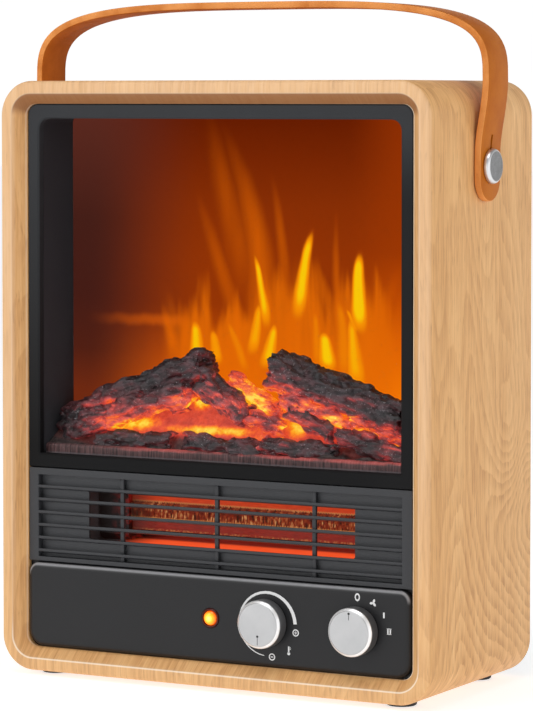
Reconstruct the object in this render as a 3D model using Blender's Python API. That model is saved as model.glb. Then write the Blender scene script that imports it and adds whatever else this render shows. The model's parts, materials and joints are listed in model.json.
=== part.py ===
"""Tabletop ceramic space heater with a log-and-flame window and a strap handle.

Metres, +Z up. The origin is on the floor under the middle of the casing, the front faces -Y.
"""
import math

import bmesh
import bpy
from mathutils import Vector

# Driving dimensions, in metres. Depths are measured back from the casing's front rim, heights up
# from its underside, and x from the middle.
CASE_W = 0.276
CASE_D = 0.132
CASE_H = 0.340
CASE_R = 0.020          # corner radius seen from the front
CASE_WALL = 0.006
FOOT_H = 0.0025         # the casing's underside above the floor
GAP = 0.0003            # clearance between pieces that touch

LIP_X = 0.0140          # the front lip, rim and slope together, at the sides
LIP_Z = 0.0131          # and at the top and bottom
RIM = 0.0072            # the flat rim in front of the slope
LIP_DEPTH = 0.0070      # where the slope ends
LIP_BACK = 0.0100       # rear face of the lip, which the front panels clip behind
COVER_DEPTH = 0.1283    # front face of the rear cover
COVER_T = 0.0032

SLOT_ROWS, TOP_SLOT_ROWS = 9, 3     # rear air slots, low intake and top vent
SLOT_PITCH = 0.0085
SLOT_L, SLOT_W = 0.054, 0.0034

PANEL_X = 0.1235        # half width of the three front panels
FLANGE_X = 0.1268       # half width of their flanges behind the lip
FLANGE_T = 0.0015
FLANGE_STEP = 0.0005    # how far a flange stays back from the panel next to it
PANEL_LOW, PANEL_HIGH = 0.0135, 0.0625
GRILLE_LOW, GRILLE_HIGH = 0.0630, 0.1170
BEZEL_LOW, BEZEL_HIGH = 0.1175, 0.3265
PANEL_FACE = 0.0052     # depth of the control panel's front face

WINDOW_X = 0.1164       # the bezel's opening
WINDOW_LOW, WINDOW_HIGH = 0.1254, 0.3185
LINER_X = 0.1175        # the flame box, inside
LINER_LOW, LINER_HIGH = 0.1245, 0.3195
LINER_T = 0.0015
LINER_FRONT, LINER_BACK = 0.0139, 0.0460
SHELF_T = 0.0015

SLATS = 6
SLAT_PITCH = 0.0074
SLAT_TOP = 0.1063       # height of the highest slat
SLAT_T = 0.0018
RIB_X = (-0.062, 0.0, 0.062)

DUCT_X = 0.0880         # the warm-air duct, inside
DUCT_LOW, DUCT_HIGH = 0.0755, 0.1072
DUCT_T = 0.0012
DUCT_FRONT, DUCT_BACK = 0.0142, 0.0600
CORE_LEFT, CORE_RIGHT = -0.0670, 0.0790
FINS_LOW, FINS_HIGH = 0.0890, 0.0974

BLOWER_DEPTH, BLOWER_HEIGHT = 0.0900, 0.0905
WHEEL_R = 0.0210
WHEEL_X = 0.0860        # half length of the wheel
BLADES = 12

ROTOR_DEPTH, ROTOR_HEIGHT = 0.0680, 0.1520

KNOB_R = 0.0136
KNOB_FACE = -0.0040     # depth of the knobs' faces, in front of the rim
KNOB_HEIGHT = 0.0383
THERMOSTAT_X, MODE_X = 0.0335, 0.0905
LAMP_X, LAMP_HEIGHT = -0.00165, 0.0384

STUD_HEIGHT = 0.2925
STRAP_W = 0.026
STRAP_T = 0.004
STRAP_FOOT_X = 0.1384   # the strap's inner face beside the studs
STRAP_ARCH_X = 0.1432   # and where the arch springs
STRAP_ARCH_LOW, STRAP_RISE = 0.340, 0.041
STRAP_END = 0.0195      # how far the strap hangs below the studs
STRAP_POWER = 3.55      # squareness of the arch


def back(depth):
    """World y of a plane this far behind the front rim."""
    return depth - CASE_D / 2


def up(height):
    """World z of a level this far above the casing's underside."""
    return FOOT_H + height


# Materials

def linear(value):
    value /= 255
    return value / 12.92 if value <= 0.04045 else ((value + 0.055) / 1.055) ** 2.4


def material(name, colour, roughness, metallic=0.0):
    mat = bpy.data.materials.get(name)
    if mat is None:
        mat = bpy.data.materials.new(name)
        mat.use_nodes = True
        shader = mat.node_tree.nodes["Principled BSDF"]
        shader.inputs["Base Color"].default_value = [linear(c) for c in colour] + [1.0]
        shader.inputs["Roughness"].default_value = roughness
        shader.inputs["Metallic"].default_value = metallic
    return mat


def oak():
    return material("oak_finish", (214, 168, 116), 0.5)


def leather():
    return material("strap_leather", (184, 106, 40), 0.55)


def black_plastic():
    return material("black_plastic", (52, 52, 55), 0.4)


def dark_plastic():
    return material("dark_plastic", (36, 36, 39), 0.5)


def matt_lining():
    return material("matt_lining", (42, 41, 42), 0.8)


def satin_metal():
    return material("satin_metal", (200, 200, 200), 0.3, 1.0)


def steel():
    return material("zinc_steel", (165, 168, 172), 0.4, 1.0)


def iron():
    return material("motor_iron", (95, 95, 98), 0.5, 0.9)


def aluminium():
    return material("fin_aluminium", (205, 150, 110), 0.4, 0.9)


def ceramic():
    return material("heating_ceramic", (200, 70, 30), 0.6)


def glass():
    return material("window_glass", (225, 230, 235), 0.05)


def screen_film():
    return material("flame_screen_film", (200, 80, 10), 0.5)


def charcoal():
    return material("charred_wood", (70, 55, 50), 0.85)


def board():
    return material("circuit_board", (30, 95, 55), 0.5)


def copper():
    return material("motor_copper", (175, 95, 50), 0.35, 1.0)


def brass():
    return material("bush_brass", (190, 155, 85), 0.35, 1.0)


def nylon():
    return material("white_nylon", (225, 222, 212), 0.5)


def rubber():
    return material("foot_rubber", (40, 40, 42), 0.85)


def amber():
    return material("lamp_amber", (255, 165, 25), 0.2)


# Building helpers

def point(u, v, along, axis):
    """A world point from two flat coordinates and a third along the named axis."""
    if axis == "X":
        return Vector((along, u, v))
    if axis == "Y":
        return Vector((u, along, v))
    return Vector((u, v, along))


def add_loft(bm, rings, closed=False):
    """Skin a row of equal rings. A closed row joins its last ring to its first."""
    loops = [[bm.verts.new(place) for place in ring] for ring in rings]
    pairs = list(zip(loops, loops[1:]))
    if closed:
        pairs.append((loops[-1], loops[0]))
    else:
        bm.faces.new(loops[0])
        bm.faces.new(loops[-1])
    for near, far in pairs:
        for i, corner in enumerate(near):
            j = (i + 1) % len(near)
            bm.faces.new((corner, near[j], far[j], far[i]))
    return bm


def loft(rings, closed=False):
    return add_loft(bmesh.new(), rings, closed)


def prism(outline, start, end, axis="Y"):
    return loft([[point(u, v, along, axis) for u, v in outline] for along in (start, end)])


def add_box(bm, x, y, z):
    """Add a box between two limits on each axis."""
    rings = [[(x[0], y[0], level), (x[1], y[0], level), (x[1], y[1], level), (x[0], y[1], level)]
             for level in z]
    return add_loft(bm, rings)


def box(x, y, z):
    return add_box(bmesh.new(), x, y, z)


def circle(radius, centre, sides):
    return [(centre[0] + radius * math.cos(2 * math.pi * i / sides),
             centre[1] + radius * math.sin(2 * math.pi * i / sides)) for i in range(sides)]


def turned(profile, centre, axis, sides=24, closed=False):
    """A turned piece from (radius, along) pairs, on an axis through a flat centre."""
    rings = [[point(u, v, along, axis) for u, v in circle(radius, centre, sides)]
             for radius, along in profile]
    return loft(rings, closed)


def rod(radius, centre, start, end, axis, sides=16):
    return turned([(radius, start), (radius, end)], centre, axis, sides)


def panel_outline(half_width, low, high, low_r, high_r, steps=5):
    """Rounded rectangle in x and world z, with its own radius at the bottom and the top."""
    corners = [(half_width, high, high_r, 0), (-half_width, high, high_r, 90),
               (-half_width, low, low_r, 180), (half_width, low, low_r, 270)]
    outline = []
    for x, z, radius, start in corners:
        centre_x = x - math.copysign(radius, x)
        centre_z = z - radius if start < 180 else z + radius
        for step in range(steps + 1):
            angle = math.radians(start + 90 * step / steps)
            outline.append((centre_x + radius * math.cos(angle),
                            up(centre_z + radius * math.sin(angle))))
    return outline


def panel_ring(depth, *outline):
    return [(x, back(depth), z) for x, z in panel_outline(*outline)]


def thick_path(path, thickness):
    """Outline of a strip of even thickness along a flat path."""
    sides = []
    for i, (u, v) in enumerate(path):
        before = path[max(i - 1, 0)]
        after = path[min(i + 1, len(path) - 1)]
        normals = []
        for a, b in ((before, (u, v)), ((u, v), after)):
            run, rise = b[0] - a[0], b[1] - a[1]
            length = math.hypot(run, rise)
            if length:
                normals.append((-rise / length, run / length))
        n_u = sum(n[0] for n in normals)
        n_v = sum(n[1] for n in normals)
        size = n_u * normals[0][0] + n_v * normals[0][1]
        shift = thickness / 2 / size
        sides.append(((u + n_u * shift, v + n_v * shift), (u - n_u * shift, v - n_v * shift)))
    return [left for left, _ in sides] + [right for _, right in reversed(sides)]


def place(name, bm, mat, origin=(0.0, 0.0, 0.0), smooth_angle=None):
    """Turn a bmesh in world places into an object whose origin is at the given point."""
    bmesh.ops.recalc_face_normals(bm, faces=bm.faces)
    bmesh.ops.translate(bm, verts=bm.verts, vec=-Vector(origin))
    mesh = bpy.data.meshes.new(name)
    bm.to_mesh(mesh)
    bm.free()
    if smooth_angle is not None:
        mesh.shade_smooth()
        mesh.set_sharp_from_angle(angle=math.radians(smooth_angle))
    obj = bpy.data.objects.new(name, mesh)
    obj.location = origin
    mesh.materials.append(mat)
    bpy.context.scene.collection.objects.link(obj)
    return obj


def combine(obj, operation, bm):
    """Cut a tool from an object, or fuse it on, with a live Boolean."""
    tool = place(obj.name + "_tool", bm, obj.data.materials[0])
    tool.hide_render = True
    tool.display_type = "WIRE"
    boolean = obj.modifiers.new(operation.lower(), "BOOLEAN")
    boolean.operation = operation
    boolean.solver = "EXACT"
    boolean.object = tool


def cut(obj, bm):
    combine(obj, "DIFFERENCE", bm)


def fuse(obj, bm):
    combine(obj, "UNION", bm)


# The casing and the rear

def screw_places():
    """Flat (x, height) places of the four rear screws, in the casing's corners."""
    inner_r = CASE_R - CASE_WALL
    reach = (inner_r - 0.0025) / math.sqrt(2)
    x = CASE_W / 2 - CASE_R + reach
    z = CASE_H / 2 - CASE_R + reach
    middle = CASE_H / 2
    return [(side * x, middle + level * z) for side in (-1, 1) for level in (-1, 1)]


def case_ring(depth, inset_x, inset_z=None):
    inset_z = inset_x if inset_z is None else inset_z
    radius = CASE_R - (inset_x + inset_z) / 2
    return panel_ring(depth, CASE_W / 2 - inset_x, inset_z, CASE_H - inset_z, radius, radius)


def make_casing():
    rebate = CASE_WALL - 0.002
    cover_seat = COVER_DEPTH - GAP
    rings = [case_ring(CASE_D, 0.0015), case_ring(CASE_D - 0.0004, 0.0006),
             case_ring(CASE_D - 0.0015, 0.0),
             case_ring(0.0028, 0.0), case_ring(0.0009, 0.0005), case_ring(0.0, 0.0022),
             case_ring(0.0, RIM), case_ring(LIP_DEPTH, LIP_X, LIP_Z),
             case_ring(LIP_BACK, LIP_X, LIP_Z), case_ring(LIP_BACK, CASE_WALL),
             case_ring(cover_seat, CASE_WALL), case_ring(cover_seat, rebate),
             case_ring(CASE_D, rebate)]
    casing = place("wood_casing", loft(rings, closed=True), oak(), smooth_angle=35)
    for x, height in screw_places():
        fuse(casing, rod(0.0045, (x, up(height)), back(0.100), back(cover_seat), "Y", 12))
    for x, height in screw_places():
        cut(casing, rod(0.0019, (x, up(height)), back(0.112), back(CASE_D + 0.001), "Y", 12))
    cut(casing, rod(0.0028, (0.0, up(STUD_HEIGHT)), -CASE_W, CASE_W, "X", 16))


def slot_outline(x, height, half_length, half_width):
    """A level slot with chamfered ends."""
    nip = half_width * 0.6
    corner = []
    for side, level in ((1, 1), (-1, 1), (-1, -1), (1, -1)):
        end = (x + side * half_length, up(height) + level * (half_width - nip))
        shoulder = (x + side * (half_length - nip), up(height) + level * half_width)
        corner += [end, shoulder] if side * level > 0 else [shoulder, end]
    return corner


def make_rear_cover():
    inset = CASE_WALL - 0.002 + GAP
    face = COVER_DEPTH + COVER_T
    rings = [case_ring(COVER_DEPTH, inset), case_ring(face - 0.0008, inset),
             case_ring(face, inset + 0.0008)]
    cover = place("rear_cover", loft(rings), dark_plastic(), smooth_angle=35)
    slots = bmesh.new()
    groups = [(SLOT_ROWS, 0.0520, (-0.062, 0.0, 0.062)), (TOP_SLOT_ROWS, 0.2750, (-0.031, 0.031))]
    for rows, lowest, columns in groups:
        for row in range(rows):
            for x in columns:
                outline = slot_outline(x, lowest + row * SLOT_PITCH, SLOT_L / 2, SLOT_W / 2)
                add_loft(slots, [[point(u, v, along, "Y") for u, v in outline]
                                 for along in (back(0.120), back(0.140))])
    cut(cover, slots)
    for x, height in screw_places():
        cut(cover, rod(0.0019, (x, up(height)), back(0.120), back(0.140), "Y", 12))
    cut(cover, rod(0.0060, GLAND_CENTRE, back(0.120), back(0.140), "Y", 24))
    make_rear_screws(face)


def make_rear_screws(face):
    """Pan-head screws with a cross recess, in the casing's bosses."""
    head = [(0.0020, back(face + 0.0021)), (0.0029, back(face + 0.0017)),
            (0.0032, back(face + 0.0010)), (0.0032, back(face + GAP)),
            (0.0016, back(face + GAP)), (0.0016, back(0.114))]
    for number, (x, height) in enumerate(screw_places(), start=1):
        screw = place(f"rear_screw_{number}", turned(head, (x, up(height)), "Y", 12), steel(),
                      smooth_angle=35)
        recess = bmesh.new()
        add_box(recess, (x - 0.0015, x + 0.0015), (back(face + 0.0012), back(face + 0.003)),
                (up(height) - 0.0003, up(height) + 0.0003))
        cut(screw, recess)


GLAND_CENTRE = (-0.095, up(0.030))


def make_cord_gland():
    profile = [(0.0036, back(0.1262)), (0.0080, back(0.1262)), (0.0080, back(0.1280)),
               (0.0057, back(0.1280)), (0.0057, back(0.1320)), (0.0085, back(0.1320)),
               (0.0085, back(0.1340)), (0.0070, back(0.1355)), (0.0058, back(0.1360)),
               (0.0036, back(0.1360))]
    place("cord_gland", turned(profile, GLAND_CENTRE, "Y", 18, closed=True), rubber(),
          smooth_angle=40)


def make_feet():
    number = 0
    for x in (-0.112, 0.112):
        for y in (-0.048, 0.048):
            number += 1
            profile = [(0.0078, 0.0), (0.0084, 0.0005), (0.0088, FOOT_H - GAP)]
            place(f"foot_{number}", turned(profile, (x, y), "Z", 20), rubber(), smooth_angle=40)


# The front panels

def make_bezel():
    flange_back = LIP_BACK + GAP + FLANGE_T
    top_r, low_r = 0.0060, 0.0006
    front = LIP_DEPTH + 0.0002
    window = (WINDOW_X, WINDOW_LOW, WINDOW_HIGH, low_r, top_r)
    flange = (FLANGE_X, BEZEL_LOW + FLANGE_STEP, BEZEL_HIGH + 0.0033, low_r, 0.0080)
    rings = [panel_ring(front, PANEL_X - 0.0004, BEZEL_LOW + 0.0004, BEZEL_HIGH - 0.0004,
                        low_r, top_r),
             panel_ring(front + 0.0004, PANEL_X, BEZEL_LOW, BEZEL_HIGH, low_r, top_r),
             panel_ring(LIP_BACK + GAP, PANEL_X, BEZEL_LOW, BEZEL_HIGH, low_r, top_r),
             panel_ring(LIP_BACK + GAP, *flange), panel_ring(flange_back, *flange),
             panel_ring(flange_back, *window), panel_ring(front + 0.0008, *window),
             panel_ring(front, WINDOW_X + 0.0010, WINDOW_LOW - 0.0010, WINDOW_HIGH + 0.0010,
                        low_r, top_r + 0.001)]
    place("window_bezel", loft(rings, closed=True), black_plastic(), smooth_angle=30)


def make_pane():
    outline = panel_outline(0.1195, 0.1225, 0.3215, 0.001, 0.004, 3)
    place("window_pane", prism(outline, back(0.0121), back(0.0136)), glass())


def make_grille():
    """A frame with six slats and three upright ribs behind their front edges."""
    front = LIP_DEPTH + 0.0002
    deep = 0.0120
    side = 0.1173
    low, high = 0.0655, 0.1130
    sharp = (0.0005, 0.0005, 1)
    flange_back = LIP_BACK + GAP + FLANGE_T
    flange = (FLANGE_X, GRILLE_LOW + FLANGE_STEP, GRILLE_HIGH - FLANGE_STEP)
    rings = [panel_ring(front, PANEL_X, GRILLE_LOW, GRILLE_HIGH, *sharp),
             panel_ring(LIP_BACK + GAP, PANEL_X, GRILLE_LOW, GRILLE_HIGH, *sharp),
             panel_ring(LIP_BACK + GAP, *flange, *sharp), panel_ring(flange_back, *flange, *sharp),
             panel_ring(flange_back, side, low, high, *sharp),
             panel_ring(front, side, low, high, *sharp)]
    grille = place("outlet_grille", loft(rings, closed=True), dark_plastic())
    slats = bmesh.new()
    for i in range(SLATS):
        height = up(SLAT_TOP - i * SLAT_PITCH)
        nose = SLAT_T / 4
        outline = [(back(front + 0.0001), height - nose), (back(front + 0.0001), height + nose),
                   (back(front + 0.0006), height + SLAT_T / 2),
                   (back(deep), height + SLAT_T / 2 - 0.0012),
                   (back(deep), height - SLAT_T / 2 - 0.0012),
                   (back(front + 0.0006), height - SLAT_T / 2)]
        add_loft(slats, [[point(u, v, x, "X") for u, v in outline]
                         for x in (-side - 0.001, side + 0.001)])
    fuse(grille, slats)
    ribs = bmesh.new()
    for x in RIB_X:
        add_box(ribs, (x - 0.0012, x + 0.0012), (back(0.0092), back(0.0114)),
                (up(low - 0.001), up(high + 0.001)))
    fuse(grille, ribs)


def make_duct_plate():
    """The plate behind the slats, with the mouth of the warm-air duct in it."""
    sharp = (0.001, 0.001, 1)
    outer = (0.1225, 0.0635, 0.1165)
    mouth = (0.0860, 0.0766, 0.1061)
    rings = [panel_ring(0.0123, *outer, *sharp), panel_ring(0.0138, *outer, *sharp),
             panel_ring(0.0138, *mouth, *sharp), panel_ring(0.0123, *mouth, *sharp)]
    place("duct_front_plate", loft(rings, closed=True), matt_lining())


def make_control_panel():
    flange_back = LIP_BACK + GAP + FLANGE_T
    low_r, top_r = 0.0070, 0.0070

    def pillow(depth, inset):
        return panel_ring(depth, PANEL_X - inset, PANEL_LOW + inset, PANEL_HIGH - inset,
                          low_r, top_r)

    flange = (FLANGE_X, PANEL_LOW - 0.0033, PANEL_HIGH - FLANGE_STEP, 0.009, 0.002)
    rings = [pillow(PANEL_FACE, 0.0042), pillow(PANEL_FACE + 0.0002, 0.0026),
             pillow(PANEL_FACE + 0.0008, 0.0012), pillow(PANEL_FACE + 0.0018, 0.0004),
             pillow(PANEL_FACE + 0.0030, 0.0), pillow(LIP_BACK + GAP, 0.0),
             panel_ring(LIP_BACK + GAP, *flange), panel_ring(flange_back, *flange)]
    panel = place("control_panel", loft(rings), black_plastic(), smooth_angle=50)
    for x, height, radius in ((THERMOSTAT_X, KNOB_HEIGHT, 0.0045), (MODE_X, KNOB_HEIGHT, 0.0045),
                              (LAMP_X, LAMP_HEIGHT, 0.0058)):
        cut(panel, rod(radius, (x, up(height)), back(0.0), back(0.020), "Y", 24))


def make_knob(name, x):
    """A turned knob with a bright chamfer and a blind bore, its origin on its own axis."""
    foot = PANEL_FACE - GAP
    profile = [(0.0116, back(KNOB_FACE)), (0.0123, back(KNOB_FACE + 0.0001)),
               (0.0130, back(KNOB_FACE + 0.0008)),
               (0.0134, back(KNOB_FACE + 0.0016)), (KNOB_R, back(KNOB_FACE + 0.0030)),
               (KNOB_R, back(foot - 0.0004)), (KNOB_R - 0.0004, back(foot)),
               (0.0034, back(foot)), (0.0034, back(-0.0010))]
    centre = (x, up(KNOB_HEIGHT))
    place(name + "_knob", turned(profile, centre, "Y", 28), satin_metal(),
          origin=(x, back(foot), up(KNOB_HEIGHT)), smooth_angle=25)
    place(name + "_spindle", rod(0.0030, centre, back(-0.0007), back(0.0245), "Y", 20), nylon(),
          origin=(x, back(foot), up(KNOB_HEIGHT)), smooth_angle=40)


def make_switch_bodies():
    for name, x, half, mat in (("thermostat_body", THERMOSTAT_X, 0.0130, brass()),
                               ("mode_switch_body", MODE_X, 0.0115, nylon())):
        body = place(name, box((x - half, x + half), (back(0.0125), back(0.0360)),
                               (up(KNOB_HEIGHT - half), up(KNOB_HEIGHT + half))), mat)
        cut(body, rod(0.0034, (x, up(KNOB_HEIGHT)), back(0.0), back(0.0250), "Y", 20))
        pins = bmesh.new()
        for offset in (-0.006, 0.0, 0.006):
            add_box(pins, (x + offset - 0.0012, x + offset + 0.0012),
                    (back(0.0355), back(0.0420)), (up(0.0380), up(0.0386)))
        fuse(body, pins)


def make_lamp():
    centre = (LAMP_X, up(LAMP_HEIGHT))
    holder = [(0.0055, back(0.0049)), (0.0055, back(0.0170)), (0.0046, back(0.0170)),
              (0.0046, back(0.0045)), (0.0050, back(0.0044))]
    place("indicator_holder", turned(holder, centre, "Y", 24, closed=True), dark_plastic(),
          smooth_angle=40)
    lens = [(0.0010, back(0.0031)), (0.0026, back(0.0034)), (0.0037, back(0.0041)),
            (0.0043, back(0.0052)), (0.0043, back(0.0120))]
    place("indicator_lens", turned(lens, centre, "Y", 24), amber(), smooth_angle=60)


# The flame box

def make_liner():
    outer = (LINER_X + LINER_T, LINER_LOW - LINER_T, LINER_HIGH + LINER_T, 0.001, 0.005, 3)
    inner = (LINER_X, LINER_LOW, LINER_HIGH, 0.0005, 0.0035, 3)
    rings = [panel_ring(LINER_FRONT, *outer), panel_ring(LINER_BACK, *outer),
             panel_ring(LINER_BACK, *inner), panel_ring(LINER_FRONT, *inner)]
    place("firebox_liner", loft(rings, closed=True), matt_lining(), smooth_angle=30)
    screen = panel_outline(0.1190, 0.1230, 0.3210, 0.001, 0.004, 2)
    place("flame_screen", prism(screen, back(0.0463), back(0.0483)), screen_film())


# Each log is its two ends, as (x, depth, height), and the radius there.
LOGS = (((-0.108, 0.029, 0.140), 0.0085, (-0.026, 0.0325, 0.1735), 0.0120),
        ((0.022, 0.033, 0.1760), 0.0115, (0.102, 0.033, 0.1510), 0.0105),
        ((-0.024, 0.026, 0.1660), 0.0080, (0.012, 0.025, 0.1480), 0.0080),
        ((-0.014, 0.035, 0.1680), 0.0085, (0.026, 0.031, 0.1500), 0.0080),
        ((0.036, 0.026, 0.1510), 0.0080, (0.076, 0.024, 0.1400), 0.0075),
        ((0.072, 0.0235, 0.1400), 0.0070, (0.110, 0.023, 0.1360), 0.0060),
        ((0.024, 0.0235, 0.1350), 0.0070, (0.072, 0.0235, 0.1340), 0.0060),
        ((-0.026, 0.0235, 0.1350), 0.0070, (0.020, 0.0235, 0.1340), 0.0065),
        ((-0.086, 0.0235, 0.1350), 0.0075, (-0.034, 0.0235, 0.1350), 0.0065),
        ((0.018, 0.0355, 0.1490), 0.0095, (0.108, 0.0360, 0.1410), 0.0085),
        ((-0.100, 0.0360, 0.1410), 0.0085, (-0.008, 0.0360, 0.1500), 0.0092))


def log_mesh(start, start_r, end, end_r, sides=8):
    """A tapering log between two ends, with nipped end faces."""
    a = Vector((start[0], back(start[1]), up(start[2])))
    b = Vector((end[0], back(end[1]), up(end[2])))
    along = (b - a).normalized()
    across = along.cross(Vector((0.0, 1.0, 0.0))).normalized()
    upward = across.cross(along)
    rings = []
    for share, radius in ((0.0, start_r * 0.75), (0.04, start_r), (0.96, end_r),
                          (1.0, end_r * 0.75)):
        middle = a.lerp(b, share)
        rings.append([middle + across * (radius * math.cos(2 * math.pi * i / sides))
                      + upward * (radius * math.sin(2 * math.pi * i / sides))
                      for i in range(sides)])
    return loft(rings)


def make_log_bed():
    bed_floor = LINER_LOW + GAP
    bed = place("log_bed", box((-0.1171, 0.1171), (back(0.0155), back(0.0457)),
                               (up(bed_floor), up(0.1365))), charcoal())
    cut(bed, box((-0.100, 0.100), (back(0.0205), back(0.0410)), (up(0.120), up(0.1325))))
    for log in LOGS:
        fuse(bed, log_mesh(*log))
    tray = place("ember_led_board", box((-0.095, 0.095), (back(0.0220), back(0.0390)),
                                        (up(bed_floor), up(0.1264))), board())
    leds = bmesh.new()
    for i in range(8):
        x = -0.084 + 0.024 * i
        add_box(leds, (x - 0.0025, x + 0.0025), (back(0.028), back(0.033)),
                (up(0.1260), up(0.1284)))
    fuse(tray, leds)


def flame_outline(x, low, width, height, lean):
    """A pointed tongue of flame."""
    half = width / 2
    right = [(half * 0.55, 0.0), (half, 0.22), (half * 0.8, 0.5), (half * 0.35, 0.78)]
    left = [(-half * 0.35, 0.7), (-half * 0.8, 0.45), (-half, 0.2), (-half * 0.55, 0.0)]
    shape = right + [(0.0, 1.0)] + left
    return [(x + u + lean * v * v, up(low + height * v)) for u, v in shape]


def make_flame_unit():
    stencil = place("flame_stencil",
                    prism(panel_outline(0.1160, 0.1232, 0.3130, 0.002, 0.006, 2),
                          back(0.0515), back(0.0523)), aluminium())
    tongues = bmesh.new()
    sizes = (0.090, 0.120, 0.105, 0.140, 0.110, 0.130, 0.095)
    for i, height in enumerate(sizes):
        outline = flame_outline(-0.090 + 0.030 * i, 0.165, 0.020, height, 0.006 * (-1) ** i)
        add_loft(tongues, [[point(u, v, along, "Y") for u, v in outline]
                           for along in (back(0.045), back(0.058))])
    cut(stencil, tongues)
    leds = place("flame_led_board", box((-0.098, 0.098), (back(0.0850), back(0.0866)),
                                        (up(0.1232), up(0.1650))), board())
    chips = bmesh.new()
    for i in range(7):
        x = -0.084 + 0.028 * i
        add_box(chips, (x - 0.003, x + 0.003), (back(0.0830), back(0.0854)),
                (up(0.149), up(0.155)))
    fuse(leds, chips)
    make_flame_rotor()


def make_flame_rotor():
    """A thin shaft with bent paddles that throws moving light on the screen."""
    axis = (back(ROTOR_DEPTH), up(ROTOR_HEIGHT))
    rotor = place("flame_rotor", rod(0.0015, axis, -0.1140, 0.1085, "X", 12), satin_metal(),
                  origin=(0.0, *axis), smooth_angle=40)
    for i in range(9):
        x = -0.088 + 0.022 * i
        angle = math.radians(70 * i)
        paddle = []
        for share in (-1, 1):
            u = math.cos(angle) * 0.0110 * share
            v = math.sin(angle) * 0.0110 * share
            twist = math.radians(25) * share
            n_u = -math.sin(angle + twist) * 0.0004
            n_v = math.cos(angle + twist) * 0.0004
            paddle.append([(x - 0.007, axis[0] + u + n_u, axis[1] + v + n_v),
                           (x + 0.007, axis[0] + u + n_u, axis[1] + v + n_v),
                           (x + 0.007, axis[0] + u - n_u, axis[1] + v - n_v),
                           (x - 0.007, axis[0] + u - n_u, axis[1] + v - n_v)])
        fuse(rotor, loft(paddle))
    for side, name in ((-1, "left"), (1, "right")):
        near, far = sorted((side * 0.1040, side * 0.1055))
        bracket = place("rotor_bracket_" + name,
                        box((near, far), (back(0.0580), back(0.0780)), (up(0.1232), up(0.1625))),
                        steel())
        cut(bracket, rod(0.0036, axis, near - 0.001, far + 0.001, "X", 16))
        bush = [(0.0018, near - 0.0008), (0.0033, near - 0.0008), (0.0033, far + 0.0008),
                (0.0018, far + 0.0008)]
        place("rotor_bush_" + name, turned(bush, axis, "X", 16, closed=True), brass(),
              smooth_angle=40)
    can = [(0.0105, -0.1270), (0.0120, -0.1258), (0.0120, -0.1075), (0.0018, -0.1075),
           (0.0018, -0.1150)]
    place("flame_motor", turned(can, axis, "X", 24), steel(), smooth_angle=40)


# The shelves, the duct and the heating core

def make_shelves():
    wall = CASE_W / 2 - CASE_WALL - 0.0012
    for name, top, front, rear in (("mid_shelf", LINER_LOW - LINER_T - GAP, 0.0145, 0.1120),
                                   ("lower_shelf", DUCT_LOW - DUCT_T - GAP, 0.0145, 0.0590)):
        level = up(top - SHELF_T / 2)
        path = [(-wall, level + 0.009), (-wall, level), (wall, level), (wall, level + 0.009)]
        shelf = place(name, prism(thick_path(path, SHELF_T), back(front), back(rear)), steel())
        if name == "mid_shelf":
            notch = box((-0.150, -0.104), (back(0.050), back(0.090)), (level + 0.003, level + 0.02))
            cut(shelf, notch)


def make_duct():
    outer = (DUCT_X + DUCT_T, DUCT_LOW - DUCT_T, DUCT_HIGH + DUCT_T, 0.001, 0.001, 1)
    inner = (DUCT_X, DUCT_LOW, DUCT_HIGH, 0.0005, 0.0005, 1)
    rings = [panel_ring(DUCT_FRONT, *outer), panel_ring(DUCT_BACK, *outer),
             panel_ring(DUCT_BACK, *inner), panel_ring(DUCT_FRONT, *inner)]
    place("air_duct", loft(rings, closed=True), steel())
    cutout = [(0.0050, up(0.1180)), (0.0080, up(0.1170)), (0.0080, up(0.1110)),
              (0.0095, up(0.1105)), (0.0095, up(0.1087))]
    place("thermal_cutout", turned(cutout, (-0.055, back(0.036)), "Z", 20), brass(),
          smooth_angle=40)


def fin_outline(low, high):
    """A square-waved fin strip along the heating core."""
    sheet, folds = 0.0004, 36
    pitch = (CORE_RIGHT - CORE_LEFT - sheet) / (folds + 0.5)
    path = []
    for i in range(folds + 1):
        x = CORE_LEFT + sheet / 2 + i * pitch
        path += [(x, up(low)), (x, up(high)), (x + pitch / 2, up(high)), (x + pitch / 2, up(low))]
    return thick_path(path, sheet)


def make_core():
    """Two glowing ceramic bars with a pack of folded fins between them, in two end holders."""
    for name, low, high in (("ptc_bar_lower", 0.0820, FINS_LOW - GAP),
                            ("ptc_bar_upper", FINS_HIGH + GAP, 0.1040)):
        place(name, box((CORE_LEFT, CORE_RIGHT), (back(0.0290), back(0.0410)),
                        (up(low), up(high))), ceramic())
    place("ptc_fins", prism(fin_outline(FINS_LOW, FINS_HIGH), back(0.0270), back(0.0430)),
          aluminium())
    for name, near, far in (("ptc_holder_left", -0.0868, CORE_LEFT - GAP),
                            ("ptc_holder_right", CORE_RIGHT + GAP, 0.0868)):
        outline = [(back(d), up(z)) for d, z in
                   ((0.0255, 0.0790), (0.0275, 0.0760), (0.0425, 0.0760), (0.0445, 0.0790),
                    (0.0445, 0.1037), (0.0425, 0.1067), (0.0275, 0.1067), (0.0255, 0.1037))]
        place(name, prism(outline, near, far, "X"), nylon())


# The blower

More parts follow.
